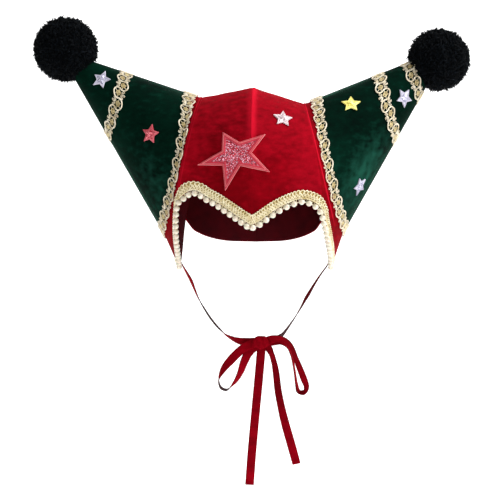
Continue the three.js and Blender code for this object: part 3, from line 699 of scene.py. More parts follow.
# %% Ribbons
PILE_SHARE = 1.1
SELVEDGE_SHARE = 0.18
SELVEDGE_DROP = 0.45
SELVEDGE_BEAD = 0.05
SELVEDGE_CRUSH = 0.35
STEPS_PER_ROW = 16
RIPPLE_HEIGHT = 0.12
RIPPLE_LENGTH = 7.0


def ribbon_section(count=9):
    """Places across the ribbon and the height of its pile there, all the way round."""
    across = np.linspace(-1, 1, count)
    on_edge = np.maximum(np.abs(across) - (1 - SELVEDGE_SHARE), 0) / SELVEDGE_SHARE
    pile = RIBBON_THICKNESS / 2 * (PILE_SHARE - SELVEDGE_DROP * on_edge)
    pile[[1, -2]] += SELVEDGE_BEAD
    half = RIBBON_WIDTH / 2
    face = np.stack([across * half, pile], 1)
    back = np.stack([across[::-1] * half, -pile], 1)
    return np.vstack([face, back]), count


def ribbon(name, route):
    rows = np.array(route, float)
    line, at = route_curve(rows[:, :3], STEPS_PER_ROW * len(rows))
    twist = np.radians(np.interp(at, np.arange(len(rows)), rows[:, 3]))[:, None]
    ahead = unit(np.gradient(line, axis=0))
    flat = unit(np.cross((0, 1, 0), ahead))
    across = flat * np.cos(twist) + np.cross(ahead, flat) * np.sin(twist)
    out = np.cross(across, ahead)
    section, count = ribbon_section()
    ripple = RIPPLE_HEIGHT * np.sin(distance_along(line) / RIPPLE_LENGTH)[:, None, None]
    points = line[:, None] + across[:, None] * section[:, :1] + out[:, None] * (section[:, 1:] + ripple)
    bundle = Bundle()
    selvedge = np.abs(section[:, 0]) > RIBBON_WIDTH / 2 * (1 - SELVEDGE_SHARE)
    first = bundle.add_points(points, np.tile(selvedge * SELVEDGE_CRUSH, len(line)))
    faces, column, row = grid_faces(len(line), len(section), True)
    wrong_side = row[:, 0] >= count - 1
    unwrapped = np.stack([column, row], -1)
    faces = faces[:, ::-1] + first
    bundle.add_faces(faces[~wrong_side], 0, unwrapped[~wrong_side])
    bundle.add_faces(faces[wrong_side], 1, unwrapped[wrong_side])
    bundle.close_ends(first, len(line), len(section), turned=True)
    piece = add_piece(name + "_velvet", bundle, [ribbon_velvet, ribbon_back], "ribbon_velvet", name)
    return piece, line * MM


ribbons = {name: ribbon(name, route) for name, route in RIBBON_ROUTES.items()}

# %% [markdown]
# The knot is the same ribbon pulled tight: a short neck that all the ends lie against, and over it
# one wide turn of ribbon. The neck and the wrap are one outline spun around, and folds that run up
# and down over the wrap make it read as gathered cloth. The outline's rows go from back to front: the
# share of the knot's size, and y.

# %% Knot
KNOT = {"x": 9.5, "z": -162.3, "width": 10.0, "height": 7.8}
KNOT_PROFILE = [
    (0, -40.6), (0.58, -40.8), (0.58, -49.7), (0.94, -50.2), (1, -52), (0.8, -54), (0.4, -54.8),
    (0, -55),
]
KNOT_WRAP = (50.0, 51.5)
KNOT_FOLD = 0.55


def knot():
    turns, rows = 72, 44
    reach, depth = np.array(KNOT_PROFILE).T
    at = distance_along(np.stack([reach * KNOT["width"], depth], 1))
    even = np.linspace(0.004, 0.996, rows) * at[-1]
    reach, depth = (smoothed(np.interp(even, at, v)[:, None], 1) for v in (reach, depth))
    turn = np.linspace(0, 2 * np.pi, turns, endpoint=False)
    x, z = reach * np.cos(turn), reach * np.sin(turn)
    on_wrap = smoothstep(-depth, *KNOT_WRAP)
    folds = np.sin(x * 9 + 1.2 * np.sin(z * 2.4)) * (0.4 + 0.6 * np.abs(z))
    size = 1 - on_wrap * (0.06 * np.abs(np.sin(2.5 * turn + 0.7)) + 0.03 * folds)
    y = depth + KNOT_FOLD * on_wrap * (folds + 1)
    across, up = x * size * KNOT["width"], z * size * KNOT["height"]
    points = np.stack([KNOT["x"] + across, y, KNOT["z"] + up], -1)
    bundle = Bundle()
    first = bundle.add_points(points, 0.5 * on_wrap * np.clip(-folds, 0, 1))
    bundle.add_faces(grid_faces(rows, turns, True)[0][:, ::-1] + first)
    bundle.close_ends(first, rows, turns, turned=True)
    return add_piece("bow_knot_velvet", bundle, [ribbon_velvet], "ribbon_velvet", "bow_knot")


bow_knot = knot()

# %% [markdown]
# Each ribbon is declared as a free cord, with the length of its own line. The ties end in the knot
# and so do the loops, and the tails are cut square and hang free.

for name, (piece, line) in ribbons.items():
    tail = name.startswith("bow_tail")
    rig.cord(
        piece,
        exit=line[0],
        length=float(distance_along(line)[-1]),
        diameter=RIBBON_WIDTH * MM,
        far_end="bare" if tail else "knot",
        stiffness="limp",
        lay="hanging",
        path=line,
        with_pieces=[bow_knot] if name == "tie_left" else (),
    )
    print(f"{name}: {distance_along(line)[-1] * 1000:.0f} mm long")

# %% [markdown]
# ## The tables behind the velvet
#
# The crown is drawn by an angle around the line between the ears: -90 is down, 0 the front, 90 the
# top and 180 the back. One table gives the distance of the centre seam from that line, another that
# of the side seams, and a third how far to the side they lie. A horn is a straight oblique cone
# between two rings. Spline objects could hold the same seams, but tables can be asked for a point at
# any angle, which every trim needs. Sizes are in millimetres, and the comment over each table names
# its columns.

# %% Tables
EAR_HEIGHT = 34.0
WALL = 2.4
TOP_FULLNESS = 2.0
FRONT_FULLNESS = 9.0
# angle, distance from the ear line
CENTRE_SECTION = [
    (-60, 165), (-40, 122), (-20, 106.5), (0, 102), (30, 101), (60, 92), (90, 84.2), (120, 92),
]
# angle, distance from the ear line
SIDE_SECTION = [
    (-90, 116), (-75, 105), (-60, 99), (-45, 95.5), (-30, 92.5), (0, 90), (30, 87), (60, 77),
    (90, 70), (120, 77),
]
# z, x
SIDE_REACH = [
    (-90, 84), (-50, 83.5), (-30, 81.5), (-10, 79), (15, 75.5), (46, 69.5), (80, 62), (115, 53),
]
# z, how much further out on the left, on the right
SIDE_SHIFT = [
    (-90, 0, 3.4), (-67, -0.2, 2.8), (-47, 0.4, 0), (-24, 1.4, -2.4), (0, 1, -2), (25, 0.5, -1),
    (60, 0, 0), (115, 0, 0),
]
# share of the way from the centre seam to the side seam, z on the left, on the right
RIM = [
    (0, -35, -35), (0.1, -29.5, -31.5), (0.2, -24, -26), (0.3, -18.5, -20.5), (0.4, -13, -15.8),
    (0.5, -8.3, -12), (0.6, -4.2, -9), (0.7, 0.8, -6.8), (0.8, 2.5, -7.8), (0.88, 0, -10.2),
    (0.94, -3.8, -13.5), (1, -9, -20),
]
# share of the same way at the back, z
HEM = [(0, -52), (0.5, -50), (0.85, -40), (1, -26)]
# the horn's patch of painted sheen: share of the horn, angle and strength; base_braid: shift outwards and size
LEFT = {
    "name": "left", "sign": -1, "flip": (-1, 1, 1), "lift": 3.7, "column": 1,
    "base": {"top": (70.2, 112.6), "bottom": (102, -41), "depth": 80, "waist": 9.5},
    "tip": {"top": (185.8, 151.6), "bottom": (201, 130.6), "depth": 13, "waist": 0},
    "pompom": (-211.5, 0, 164), "pompom_radius": 36, "braids": {"mid": 0.62},
    "brushed": (0.1, -38, 0.2), "flap_cover": 0.2, "pressed_fold": 0,
    "base_braid": (0.0, 1.0), "turned_over": 0.3, "lifted": 0.12,
}
RIGHT = {
    "name": "right", "sign": 1, "flip": (1, 1, 1), "lift": -3.7, "column": 2,
    "base": {"top": (68.7, 106.4), "bottom": (101, -41), "depth": 80, "waist": 6},
    "tip": {"top": (178.1, 149.6), "bottom": (191.7, 119), "depth": 16.7, "waist": 0},
    "pompom": (206.5, 0, 150.6), "pompom_radius": 34.5, "braids": {"mid": 0.64, "tip": 0.93},
    "brushed": (0.3, -46, 0.48), "flap_cover": 0.45, "pressed_fold": 1,
    "base_braid": (1.8, 0.92), "turned_over": 1.0, "lifted": 0.2,
}


def look_up(table, key, column=1):
    """A smooth curve through a table's rows, read at any key."""
    rows = np.array(table, float)
    at, value = rows[:, 0], rows[:, column]
    slope = np.empty_like(value)
    slope[1:-1] = (value[2:] - value[:-2]) / (at[2:] - at[:-2])
    slope[[0, -1]] = (value[[1, -1]] - value[[0, -2]]) / (at[[1, -1]] - at[[0, -2]])
    row = np.clip(np.searchsorted(at, key) - 1, 0, len(at) - 2)
    step = at[row + 1] - at[row]
    t = (key - at[row]) / step
    start = value[row] * (2 * t**3 - 3 * t**2 + 1) + step * slope[row] * (t**3 - 2 * t**2 + t)
    return start + value[row + 1] * (3 * t**2 - 2 * t**3) + step * slope[row + 1] * (t**3 - t**2)


print("ear line at", EAR_HEIGHT, "mm, cloth", WALL, "mm thick")

# %% [markdown]
# Three seams carry everything: the centre seam, the side seam, and the ring where a horn is sewn
# on. The crown spans the first two, the side panel with its ear flap the next two, and the horn runs
# from its base ring to its tip. `u` runs away from the middle of the hat, and all of it is drawn on
# the viewer's right and mirrored for the left.

# %% Seams
LIFT_HEIGHT = 105.0


def spanned(start, stop, share):
    return start + (stop - start) * np.asarray(share)[..., None]


def fold(angle):
    return np.where(angle > 90, 180 - angle, angle)


def outward(angle):
    turn = np.radians(angle)
    return np.stack([np.zeros_like(turn), -np.cos(turn), np.sin(turn)], -1)


def centre_seam(angle):
    return outward(angle) * look_up(CENTRE_SECTION, fold(angle))[..., None] + (0, 0, EAR_HEIGHT)


def side_seam(side, angle):
    point = outward(angle) * look_up(SIDE_SECTION, fold(angle))[..., None] + (0, 0, EAR_HEIGHT)
    height = point[..., 2]
    point[..., 0] = look_up(SIDE_REACH, height) + look_up(SIDE_SHIFT, height, side["column"])
    point[..., 2] = height + side["lift"] * np.clip(height / LIFT_HEIGHT, 0, 1)
    return point


def horn_ring(end, angle):
    rise, level = np.sin(np.radians(angle)), np.cos(np.radians(angle))
    (top_x, top_z), (bottom_x, bottom_z) = end["top"], end["bottom"]
    x = (top_x + bottom_x) / 2 + rise * (top_x - bottom_x) / 2 - end["waist"] * level**2
    z = (top_z + bottom_z) / 2 + rise * (top_z - bottom_z) / 2
    return np.stack([x, -end["depth"] * level, z], -1)


def ring_middle(end):
    """The middle of a horn's ring, halfway between its front and its back."""
    return horn_ring(end, np.array([0.0, 180.0])).mean(0)


print("front of the side seam at", side_seam(RIGHT, np.array(0.0)).round(1))

# %% Faces
def fullness(u, angle):
    """How far the crown's cloth swells out between its seams."""
    most = TOP_FULLNESS + FRONT_FULLNESS * np.cos(np.radians(angle)) ** 2
    return outward(angle) * (most * u * (1 - u))[..., None]


def crown_face(side, u, angle):
    u, angle = alike(u, angle)
    return spanned(centre_seam(angle), side_seam(side, angle), u) + fullness(u, angle)


def panel_face(side, u, angle):
    u, angle = alike(u, angle)
    return spanned(side_seam(side, angle), horn_ring(side["base"], angle), u)


def horn_face(side, u, angle):
    u, angle = alike(u, angle)
    return spanned(horn_ring(side["base"], angle), horn_ring(side["tip"], angle), u)


def normal_of(face, side, u, angle):
    along = face(side, u + 0.001, angle) - face(side, u - 0.001, angle)
    around = face(side, u, angle + 0.05) - face(side, u, angle - 0.05)
    return unit(np.cross(along, around))


print("front of the crown at", crown_face(RIGHT, 0.0, 0.0).round(1))

# %% [markdown]
# The inside of the cloth is drawn between the same seams, moved in by the wall. At a seam it is
# square to the mean of the two faces that meet there, so the linings of two pieces touch and don't
# cross. From the first FREE_EDGE angle down, the panel's edge is free and has only its own face.

# %% Lining surfaces
FREE_EDGE = (-62, -42)


def set_in(point, main, other):
    mean = unit(main + other)
    return point - mean * WALL / np.maximum((mean * main).sum(-1, keepdims=True), 0.7)


def inner_centre(side, angle):
    normal = normal_of(crown_face, side, np.full_like(angle, 0.001), angle) * (0, 1, 1)
    return centre_seam(angle) - unit(normal) * WALL


def inner_side(side, angle):
    ones = np.ones_like(angle)
    crown = normal_of(crown_face, side, ones, angle) * smoothstep(fold(angle), *FREE_EDGE)[..., None]
    return set_in(side_seam(side, angle), normal_of(panel_face, side, 0 * ones, angle), crown)


def inner_base(side, angle):
    ones = np.ones_like(angle)
    horn = normal_of(horn_face, side, 0 * ones, angle)
    return set_in(horn_ring(side["base"], angle), horn, normal_of(panel_face, side, ones, angle))


def inner_tip(side, angle):
    normal = normal_of(horn_face, side, np.ones_like(angle), angle)
    return horn_ring(side["tip"], angle) - normal * WALL


print("inside of the side seam's front at", inner_side(RIGHT, np.array([0.0])).round(1))

# %% [markdown]
# The rim and the hem are given by their height, but the faces by an angle. Halving an interval again
# and again finds the angle for any face, where a formula would be needed for each.

# %% From a height to an angle
def angle_at_height(face, side, u, z, back=False):
    """The angle at which a face reaches a height, on its front or on its back."""
    low, high = np.full_like(u, -70.0), np.full_like(u, 60.0)
    for _ in range(40):
        middle = (low + high) / 2
        below = face(side, u, 180 - middle if back else middle)[..., 2] < z
        low, high = np.where(below, middle, low), np.where(below, high, middle)
    return 180 - low if back else low


def rim_angle(side, u):
    return angle_at_height(crown_face, side, u, look_up(RIM, u, side["column"]))


print("rim corner at", rim_angle(RIGHT, np.array([1.0])).round(1), "degrees")

# %% [markdown]
# ## Velvet shells
#
# Stiffened velvet is never quite flat: it dips a little between the seams, rolls over at a cut
# edge, and along a seam it is drawn down into a groove between two soft ridges. A cloth simulation
# would also find such forms, but it moves the braid lines. Offsets along the normal, from the
# distance to each seam, put the same relief where the picture has it.

# %% Cloth relief
NEAR_EDGE = np.array([0, 0.15, 0.4, 0.8, 1.3, 2.0, 2.9, 4.0, 5.4])
EDGE_ROUND = 1.1
DIPS = [(0.45, 44.0), (0.16, 13.0)]


def edge_spaced(length, count):
    """Shares from 0 to 1 of a length in millimetres, close together near both ends."""
    middle = np.linspace(NEAR_EDGE[-1], length - NEAR_EDGE[-1], count + 2)[1:-1]
    return np.concatenate([NEAR_EDGE, middle, length - NEAR_EDGE[::-1]]) / length


def rolled(distance):
    """How far a face falls away towards a cut edge."""
    near = np.clip(EDGE_ROUND - distance, 0, EDGE_ROUND * 0.93)
    return EDGE_ROUND - np.sqrt(EDGE_ROUND**2 - near**2)


def ridge(distance, height, reach):
    return height * np.exp(-(((distance - reach) / (0.7 * reach)) ** 2))


def rough(points, size):
    flat = np.reshape(points, (-1, 3)) / size
    return np.reshape([noise.noise(point) for point in flat.tolist()], points.shape[:-1])


def sunk(side, points):
    """The soft unevenness of the stiffened cloth: how far a point lies below the drawn face."""
    points = points * side["flip"]
    return sum(depth * (1 + rough(points, size)) for depth, size in DIPS)


print("deepest dip about", round(2 * sum(depth for depth, _ in DIPS), 2), "mm")

# %% [markdown]
# On the viewer's right the front of the side seam is pressed over: what shows is a sharp fold beside
# it, which runs straight down as seen from the front. It is drawn as a narrow ridge over the crown and
# the side panel alike, and the seam under it almost closes. Along the fold the velvet is painted paler:
# pressed pile and a painted highlight.

# %% Pressed fold
FOLD_STARTS = (-58, -40)
FOLD_ENDS = (70, 100)
FOLD_TOP = {"x": 59.0, "z": 91.0}
FOLD_SLOPE = 0.245
FOLD_WIDTH = 0.7
FOLD_HEIGHT = 0.6
FOLD_PRESS_AND_HIGHLIGHT = 0.7
SEAM_CLOSES = 0.85


def folded_share(side, angle):
    front = smoothstep(angle, *FOLD_STARTS) * (1 - smoothstep(angle, *FOLD_ENDS))
    return side["pressed_fold"] * front


def open_seam_share(side, angle):
    return 1 - SEAM_CLOSES * folded_share(side, angle)


def pressed_crease(side, face, angle):
    """How near a place is to the fold: 1 on it and 0 away from it."""
    line = FOLD_TOP["x"] + FOLD_SLOPE * (FOLD_TOP["z"] - face[..., 2])
    return folded_share(side, angle) * np.exp(-(((face[..., 0] - line) / FOLD_WIDTH) ** 2))


print("fold on the right at x", FOLD_TOP["x"], "mm, at the height of", FOLD_TOP["z"], "mm")

# %% [markdown]
# The crown's two halves meet in the centre seam. Its allowance is turned to the viewer's right and
# lifts the cloth in a band there, which is painted paler: pressed pile and a painted highlight.
# Towards the top and the outer side the velvet is painted paler as painted light, on that half more
# than on the other.

# %% Crown
SEAM_BAND = (1.5, 8.0)
BAND_STARTS = (18, 60)
ALLOWANCE = 0.3
PUCKER = 0.14
PAINTED_LIGHT_RISE = (5, 75)
PAINTED_LIGHT_SPREAD = (25, 60)
CROWN_WIDTH, CROWN_COLUMNS = 68, 72
CROWN_LENGTH, CROWN_ROWS = 330, 100


def crown_velvet(side):
    u = edge_spaced(CROWN_WIDTH, CROWN_COLUMNS)
    rim = rim_angle(side, u)[:, None]
    hem = angle_at_height(crown_face, side, u, look_up(HEM, u), True)[:, None]
    angle = rim + (hem - rim) * edge_spaced(CROWN_LENGTH, CROWN_ROWS)
    u = np.broadcast_to(u[:, None], angle.shape)
    face = crown_face(side, u, angle)
    normal = normal_of(crown_face, side, u, angle)
    radius = np.linalg.norm((face - (0, 0, EAR_HEIGHT))[..., 1:], axis=-1)
    to_centre = face[..., 0]
    to_side = (1 - u) * np.linalg.norm(side_seam(side, angle) - centre_seam(angle), axis=-1)
    to_rim = np.radians(angle - rim) * radius
    to_hem = np.radians(hem - angle) * radius
    cut_edge = np.minimum(to_rim, to_hem)
    seam = np.minimum(to_centre, to_side)
    calm = smoothstep(np.minimum(cut_edge - 8, seam), 0, 16)
    high = smoothstep(face[..., 2], *BAND_STARTS)
    band = (1 - smoothstep(to_centre, *SEAM_BAND)) * high * side["turned_over"]
    pucker = PUCKER * rough(face * side["flip"], 5.0) * (1 - smoothstep(to_side, 4, 14))
    open_seam = open_seam_share(side, angle)
    crease = pressed_crease(side, face, angle)
    relief = ALLOWANCE * band + ridge(to_side, 0.25, 2.4) * open_seam + pucker + FOLD_HEIGHT * crease
    relief -= sunk(side, face) * calm
    rounded = np.maximum(rolled(to_side) * open_seam, rolled(cut_edge))
    relief -= np.maximum(rounded, rolled(to_centre) * (0.1 + 0.6 * high))
    outer = face + normal * relief[..., None]
    outer[..., 0] = np.maximum(outer[..., 0], 0.0)
    inner = spanned(inner_centre(side, angle), inner_side(side, angle), u) + fullness(u, angle)
    inner += normal * (rolled(cut_edge) - sunk(side, face) * calm)[..., None]
    inner[..., 0] = np.maximum(inner[..., 0], 0.0)
    # Pressed pile, partly painted as highlights on the seam band, the side seam and the fold; then a paler top and
    # outer side, which is painted light.
    pressed = 0.6 * band + ridge(to_side, 0.3, 1.2) * open_seam + FOLD_PRESS_AND_HIGHLIGHT * crease
    lifted = np.maximum(smoothstep(face[..., 2], *PAINTED_LIGHT_RISE), smoothstep(to_centre, *PAINTED_LIGHT_SPREAD))
    pressed += side["lifted"] * lifted
    bundle = Bundle()
    bundle.shell(outer, inner, False, pressed + 0.5 * (1 - smoothstep(to_hem, 0.5, 3)))
    return bundle.on_side(side)


def dress_both(part, shell, face, slot):
    """Makes a lined shell for each side, which stands for that side's solid."""
    for side in (LEFT, RIGHT):
        node = f"{part}_{side['name']}"
        add_piece(node + "_velvet", shell(side), [face, lining], slot, node)


dress_both("crown", crown_velvet, red_velvet, "red_velvet")

# %% [markdown]
# The side panel is a ring: narrow over the top of the head, and at the bottom it hangs down as the
# ear flap that holds the ribbon. Its inner edge is sewn to the crown above the rim and is a free,
# trimmed edge below it.

# %% Side panels
PANEL_WIDTH, PANEL_COLUMNS = 20, 20
PANEL_ROWS = 240


def panel_velvet(side):
    angle = np.linspace(-90, 270, PANEL_ROWS, endpoint=False)
    width = np.linalg.norm(side_seam(side, angle) - horn_ring(side["base"], angle), axis=-1)
    share = edge_spaced(PANEL_WIDTH, PANEL_COLUMNS)[:, None]
    u, angle = np.broadcast_arrays(share, angle)
    face = panel_face(side, u, angle)
    normal = normal_of(panel_face, side, u, angle)
    to_crown, to_horn = u * width, (1 - u) * width
    edge = np.minimum(to_crown, to_horn)
    calm = smoothstep(edge, 0, 9)
    open_seam = open_seam_share(side, angle)
    crease = pressed_crease(side, face, angle)
    relief = ridge(to_crown, 0.5, 1.8) * open_seam + FOLD_HEIGHT * crease - 0.6 * sunk(side, face) * calm
    relief -= np.maximum(rolled(to_crown) * open_seam, rolled(to_horn))
    outer = face + normal * relief[..., None]
    inner = spanned(inner_side(side, angle), inner_base(side, angle), u)
    inner += normal * (rolled(to_crown) * (fold(angle) < -25))[..., None]
    bundle = Bundle()
    # Pressed pile along the seam and the fold, painted paler as a highlight.
    bundle.shell(outer, inner, True, ridge(to_crown, 0.4, 1.2) * open_seam + FOLD_PRESS_AND_HIGHLIGHT * crease)
    return bundle.on_side(side)


dress_both("side_panel", panel_velvet, red_velvet, "red_velvet")

# %% [markdown]
# A horn is cut in two halves and sewn along its top and its underside, so it has two seams, at 90
# and at -90 degrees. The rows of the grid crowd towards them, where the relief is finest. The tip
# is closed under the pompom.

# %% Horns
HORN_LENGTH, HORN_COLUMNS = 112, 26
HORN_ROWS = 200
HORN_RADIUS = {"base": 79.0, "tip": 15.0}
TIP_RINGS = [(0.66, 0.35), (0.33, 0.55), (0.05, 0.6)]
SHEEN_PATCH_LENGTH = 0.24
SHEEN_PATCH_TURN = 24.0


def horn_velvet(side):
    even = np.linspace(-90, 270, HORN_ROWS, endpoint=False)
    angle = even + np.degrees(0.4 * np.sin(2 * np.radians(even)))
    share = edge_spaced(HORN_LENGTH, HORN_COLUMNS)[:, None]
    u, angle = np.broadcast_arrays(share, angle)
    face = horn_face(side, u, angle)
    normal = normal_of(horn_face, side, np.clip(u, 0.01, 0.99), angle)
    length = np.linalg.norm(horn_face(side, 1.0, angle) - horn_face(side, 0.0, angle), axis=-1)
    radius = HORN_RADIUS["base"] + (HORN_RADIUS["tip"] - HORN_RADIUS["base"]) * u
    to_seam = np.radians(90 - np.abs(fold(angle))) * radius
    to_base = u * length
    relief = ridge(to_base, 0.3, 2.0) - rolled(to_base)
    relief += ridge(to_seam, 0.45, 2.2) - 0.6 * np.exp(-((to_seam / 0.9) ** 2))
    dip = sunk(side, face) * smoothstep(to_seam, 0, 12) * smoothstep(to_base, 4, 16)
    outer = face + normal * (relief - dip)[..., None]
    inner = spanned(inner_base(side, angle), inner_tip(side, angle), u * 0.985) - normal * dip[..., None]
    axis = unit(ring_middle(side["tip"]) - ring_middle(side["base"]))
    caps = []
    for sheet in (outer, inner):
        middle = sheet[-1].mean(0)
        closing = [middle + (sheet[-1] - middle) * size + axis * bulge for size, bulge in TIP_RINGS]
        caps.append(np.concatenate([sheet, closing]))
    # A patch of painted sheen low on the horn, and along its seams pressed pile painted as a highlight.
    along, turn, strength = side["brushed"]
    away = ((u - along) / SHEEN_PATCH_LENGTH) ** 2 + ((angle - turn) / SHEEN_PATCH_TURN) ** 2
    brushed = np.exp(-away) * (0.75 + rough(face, 9.0))
    crush = ridge(to_seam, 0.5, 1.4) + strength * np.clip(brushed, 0, 1)
    crush = np.concatenate([crush, np.zeros((len(TIP_RINGS), len(even)))])
    bundle = Bundle()
    bundle.shell(caps[0], caps[1], True, crush)
    return bundle.on_side(side)


dress_both("horn", horn_velvet, green_velvet, "green_velvet")

# %% [markdown]
# ## Scroll braid
#
# The cream braid is an openwork of round scrolls that turn to one side and then to the other. A thick
# pale cord runs round the outside of each scroll and crosses over to the next. A ring with a small
# eye lies inside it, and short threads like spokes join the two; behind each scroll a row of narrow
# loops fills the other side. The cloth shows between them. A texture on a flat band would look right
# from the front only; real cords cast their own shadows.

# %% Where the braid lies
def square_run(face, side, at, angle):
    """The length of a face square to the ring at a share of it."""
    run = face(side, 1.0, angle) - face(side, 0.0, angle)
    around = unit(face(side, at, angle + 0.5) - face(side, at, angle - 0.5))
    return np.linalg.norm(np.cross(run, around), axis=-1)


def braid_point(side, along, angle, across, height):
    """A point over the braid's line: across in millimetres, positive towards the horn's tip."""
    u = along + across / square_run(horn_face, side, along, angle)
    point = horn_face(side, u, angle)
    normal = normal_of(horn_face, side, np.clip(u, 0.01, 0.99), angle)
    if along == 0:
        u = 1 + across / square_run(panel_face, side, 1.0, angle)
        beside = normal_of(panel_face, side, np.clip(u, 0.01, 0.99), angle)
        point = np.where((across < 0)[..., None], panel_face(side, u, angle), point)
        normal = unit(spanned(beside, normal, smoothstep(across, -3, 3)))
    else:
        height = height - sunk(side, point)
    return point + normal * np.asarray(height)[..., None], normal


print("run of the right horn's front:", square_run(horn_face, RIGHT, 0.5, 0.0).round(1), "mm")

# %% Scroll braid
SCROLL_PITCH = 22.4
SCROLL_OFFSET = 1.6
SCROLL_RADIUS = 6.1
OUTER_CORD = 0.74
# radius, cord, height
RINGS = [(2.4, 0.5, 0.85), (0.95, 0.45, 0.9)]
SPOKES = 4
SPOKE_CORD = 0.34
TEETH = 3
TOOTH_REACH = (1.8, 6.2)
TOOTH_OFFSET = 0.9
TOOTH_CORD = 0.46
SCROLL_HEIGHT = {"outer": 1.0, "spoke": 0.65, "tooth": 0.75}


def scroll_braid(side, along, stand, shift, size):
    ring_angle = np.linspace(-90, 270, 1441)
    ring_at = distance_along(horn_face(side, along, ring_angle))
    around = ring_at[-1]
    waves = round(around / SCROLL_PITCH)
    pitch = around / waves
    bundle = Bundle()

    def place(s, across, height):
        s, across = alike(s, across)
        angle = np.interp(s % around, ring_at, ring_angle)
        return braid_point(side, along, angle, shift + size * across, stand + height)

    bends = np.arange(2 * waves)
    way = np.where(bends % 2 == 0, 1, -1)
    middle = pitch * (0.25 + 0.5 * bends)
    sweep_round = np.radians(np.linspace(-98, 98, 19))
    s = middle[:, None] + SCROLL_RADIUS * np.sin(sweep_round)
    across = way[:, None] * (SCROLL_OFFSET + SCROLL_RADIUS * np.cos(sweep_round))
    bundle.tube(*place(s.ravel(), across.ravel(), SCROLL_HEIGHT["outer"]), OUTER_CORD, 7, True)
    ring = np.linspace(0, 2 * np.pi, 16, endpoint=False)
    spokes = np.radians(np.linspace(-90, 90, SPOKES))
    spoke = np.linspace(RINGS[0][0], SCROLL_RADIUS, 3)
    teeth = np.radians(np.linspace(-44, 44, TEETH))
    inside, outside = TOOTH_REACH
    shoulder = inside * 0.4 + outside * 0.6
    tooth = np.array([inside, shoulder, outside, outside, shoulder, inside])
    splay = np.radians(np.array([-6, -10, -6, 6, 10, 6]))
    for at, turned in zip(middle, way):
        for radius, thick, lift in RINGS:
            across = turned * (SCROLL_OFFSET + radius * np.cos(ring))
            bundle.tube(*place(at + radius * np.sin(ring), across, lift), thick, 6, True, finish=1)
        for lean in spokes:
            across = turned * (SCROLL_OFFSET + spoke * np.cos(lean))
            bundle.tube(*place(at + spoke * np.sin(lean), across, SCROLL_HEIGHT["spoke"]), SPOKE_CORD, 5)
        for lean in teeth:
            across = -turned * (tooth * np.cos(lean + splay) + TOOTH_OFFSET)
            s = at + tooth * np.sin(lean + splay)
            bundle.tube(*place(s, across, SCROLL_HEIGHT["tooth"]), TOOTH_CORD, 5)
    return bundle.on_side(side)


for side in (LEFT, RIGHT):
    lines = [("base", 0, 0.3, *side["base_braid"])]
    lines += [(where, along, 0.2, 0.0, 1.0) for where, along in side["braids"].items()]
    for where, *line in lines:
        node = f"horn_{side['name']}_{where}_braid"
        cords = scroll_braid(side, *line)
        add_piece(node + "_cords", cords, [scroll_thread, scroll_core], "scroll_braid", node)

# %% [markdown]
# ## Rim trim
#
# The trim follows the front rim from one ear flap's tip to the other's. Its line is sampled finely
# on each side, with the cloth's normal and the way into the cloth at each place. At the point in the
# middle of the forehead the two sides meet in a mitre.

# %% Trim line
MITRE_REACH = 9.0
TRIM_STEP = 0.6
FLAP_TIP = -87
crown_corner = {}


def trim_side(side):
    u = np.linspace(0, 1, 240)
    rim = rim_angle(side, u)
    flap = np.linspace(rim[-1], FLAP_TIP, 200)[1:]
    edge = np.vstack([crown_face(side, u, rim), side_seam(side, flap)])
    normal = np.vstack([normal_of(crown_face, side, u, rim), normal_of(panel_face, side, 0 * flap, flap)])
    at = distance_along(edge)
    crown_corner[side["name"]] = at[len(u) - 1]
    even = np.linspace(0, at[-1], round(at[-1] / TRIM_STEP))
    edge = np.stack([np.interp(even, at, axis) for axis in edge.T], 1)
    normal = np.stack([np.interp(even, at, axis) for axis in normal.T], 1)
    normal[0] = unit(normal[0] * (0, 1, 1))
    normal = unit(smoothed(normal, 9))
    ahead = unit(smoothed(np.gradient(edge, axis=0), 4))
    into = unit(np.cross(normal, ahead))
    bisector = unit(np.cross(normal[0], (1, 0, 0)))
    mitre = bisector / max(float(bisector @ into[8]), 0.6)
    into = spanned(np.broadcast_to(mitre, into.shape), into, smoothstep(even, 0, MITRE_REACH))
    return (even * side["sign"], *(line * side["flip"] for line in (edge, normal, into)))


halves = [trim_side(LEFT), trim_side(RIGHT)]
trim_at, trim_edge, trim_normal, trim_into = (np.concatenate([a[:0:-1], b]) for a, b in zip(*halves))


def on_trim(s, into, height):
    """A point over the trim's line, with the cloth's normal there; into is positive into the cloth."""
    s, into, height = alike(s, into, height)
    edge, normal, way = (
        np.stack([np.interp(s, trim_at, axis) for axis in line.T], -1)
        for line in (trim_edge, trim_normal, trim_into)
    )
    return edge + way * into[..., None] + normal * height[..., None], normal


print(f"trim: {trim_at[-1] - trim_at[0]:.0f} mm from flap to flap")

# %% [markdown]
# The pearls are threaded along the very edge. One tube whose radius swells into each bead keeps the
# string a single fused body.

# %% Pearls
PEARL_RADIUS = 3.3
PEARL_PITCH = {"left": 7.4, "right_arch": 8.6, "right_flap": 7.1}
PEARL_REACH = 3.5
FLAP_REACH = 2.7
PEARL_HEIGHT = 0.4
THREAD_RADIUS = 0.55

on_left_flap = smoothstep(-trim_at, crown_corner["left"] - 12, crown_corner["left"] + 8)
pearl_reach = PEARL_REACH + (FLAP_REACH - PEARL_REACH) * on_left_flap
pearl_path = on_trim(trim_at, -pearl_reach, PEARL_HEIGHT)[0]
pearl_way = distance_along(pearl_path)


def pearl_places():
    """Where along the string the middle of each pearl lies."""
    middles, at = [], 0.0
    while True:
        s = np.interp(at, pearl_way, trim_at)
        right_part = "right_arch" if s < crown_corner["right"] else "right_flap"
        pitch = PEARL_PITCH["left" if s < 0 else right_part]
        if at + pitch > pearl_way[-1]:
            return np.array(middles)
        middles.append(at + pitch / 2)
        at += pitch


pearl_middle = pearl_places()
pearl_count = len(pearl_middle)


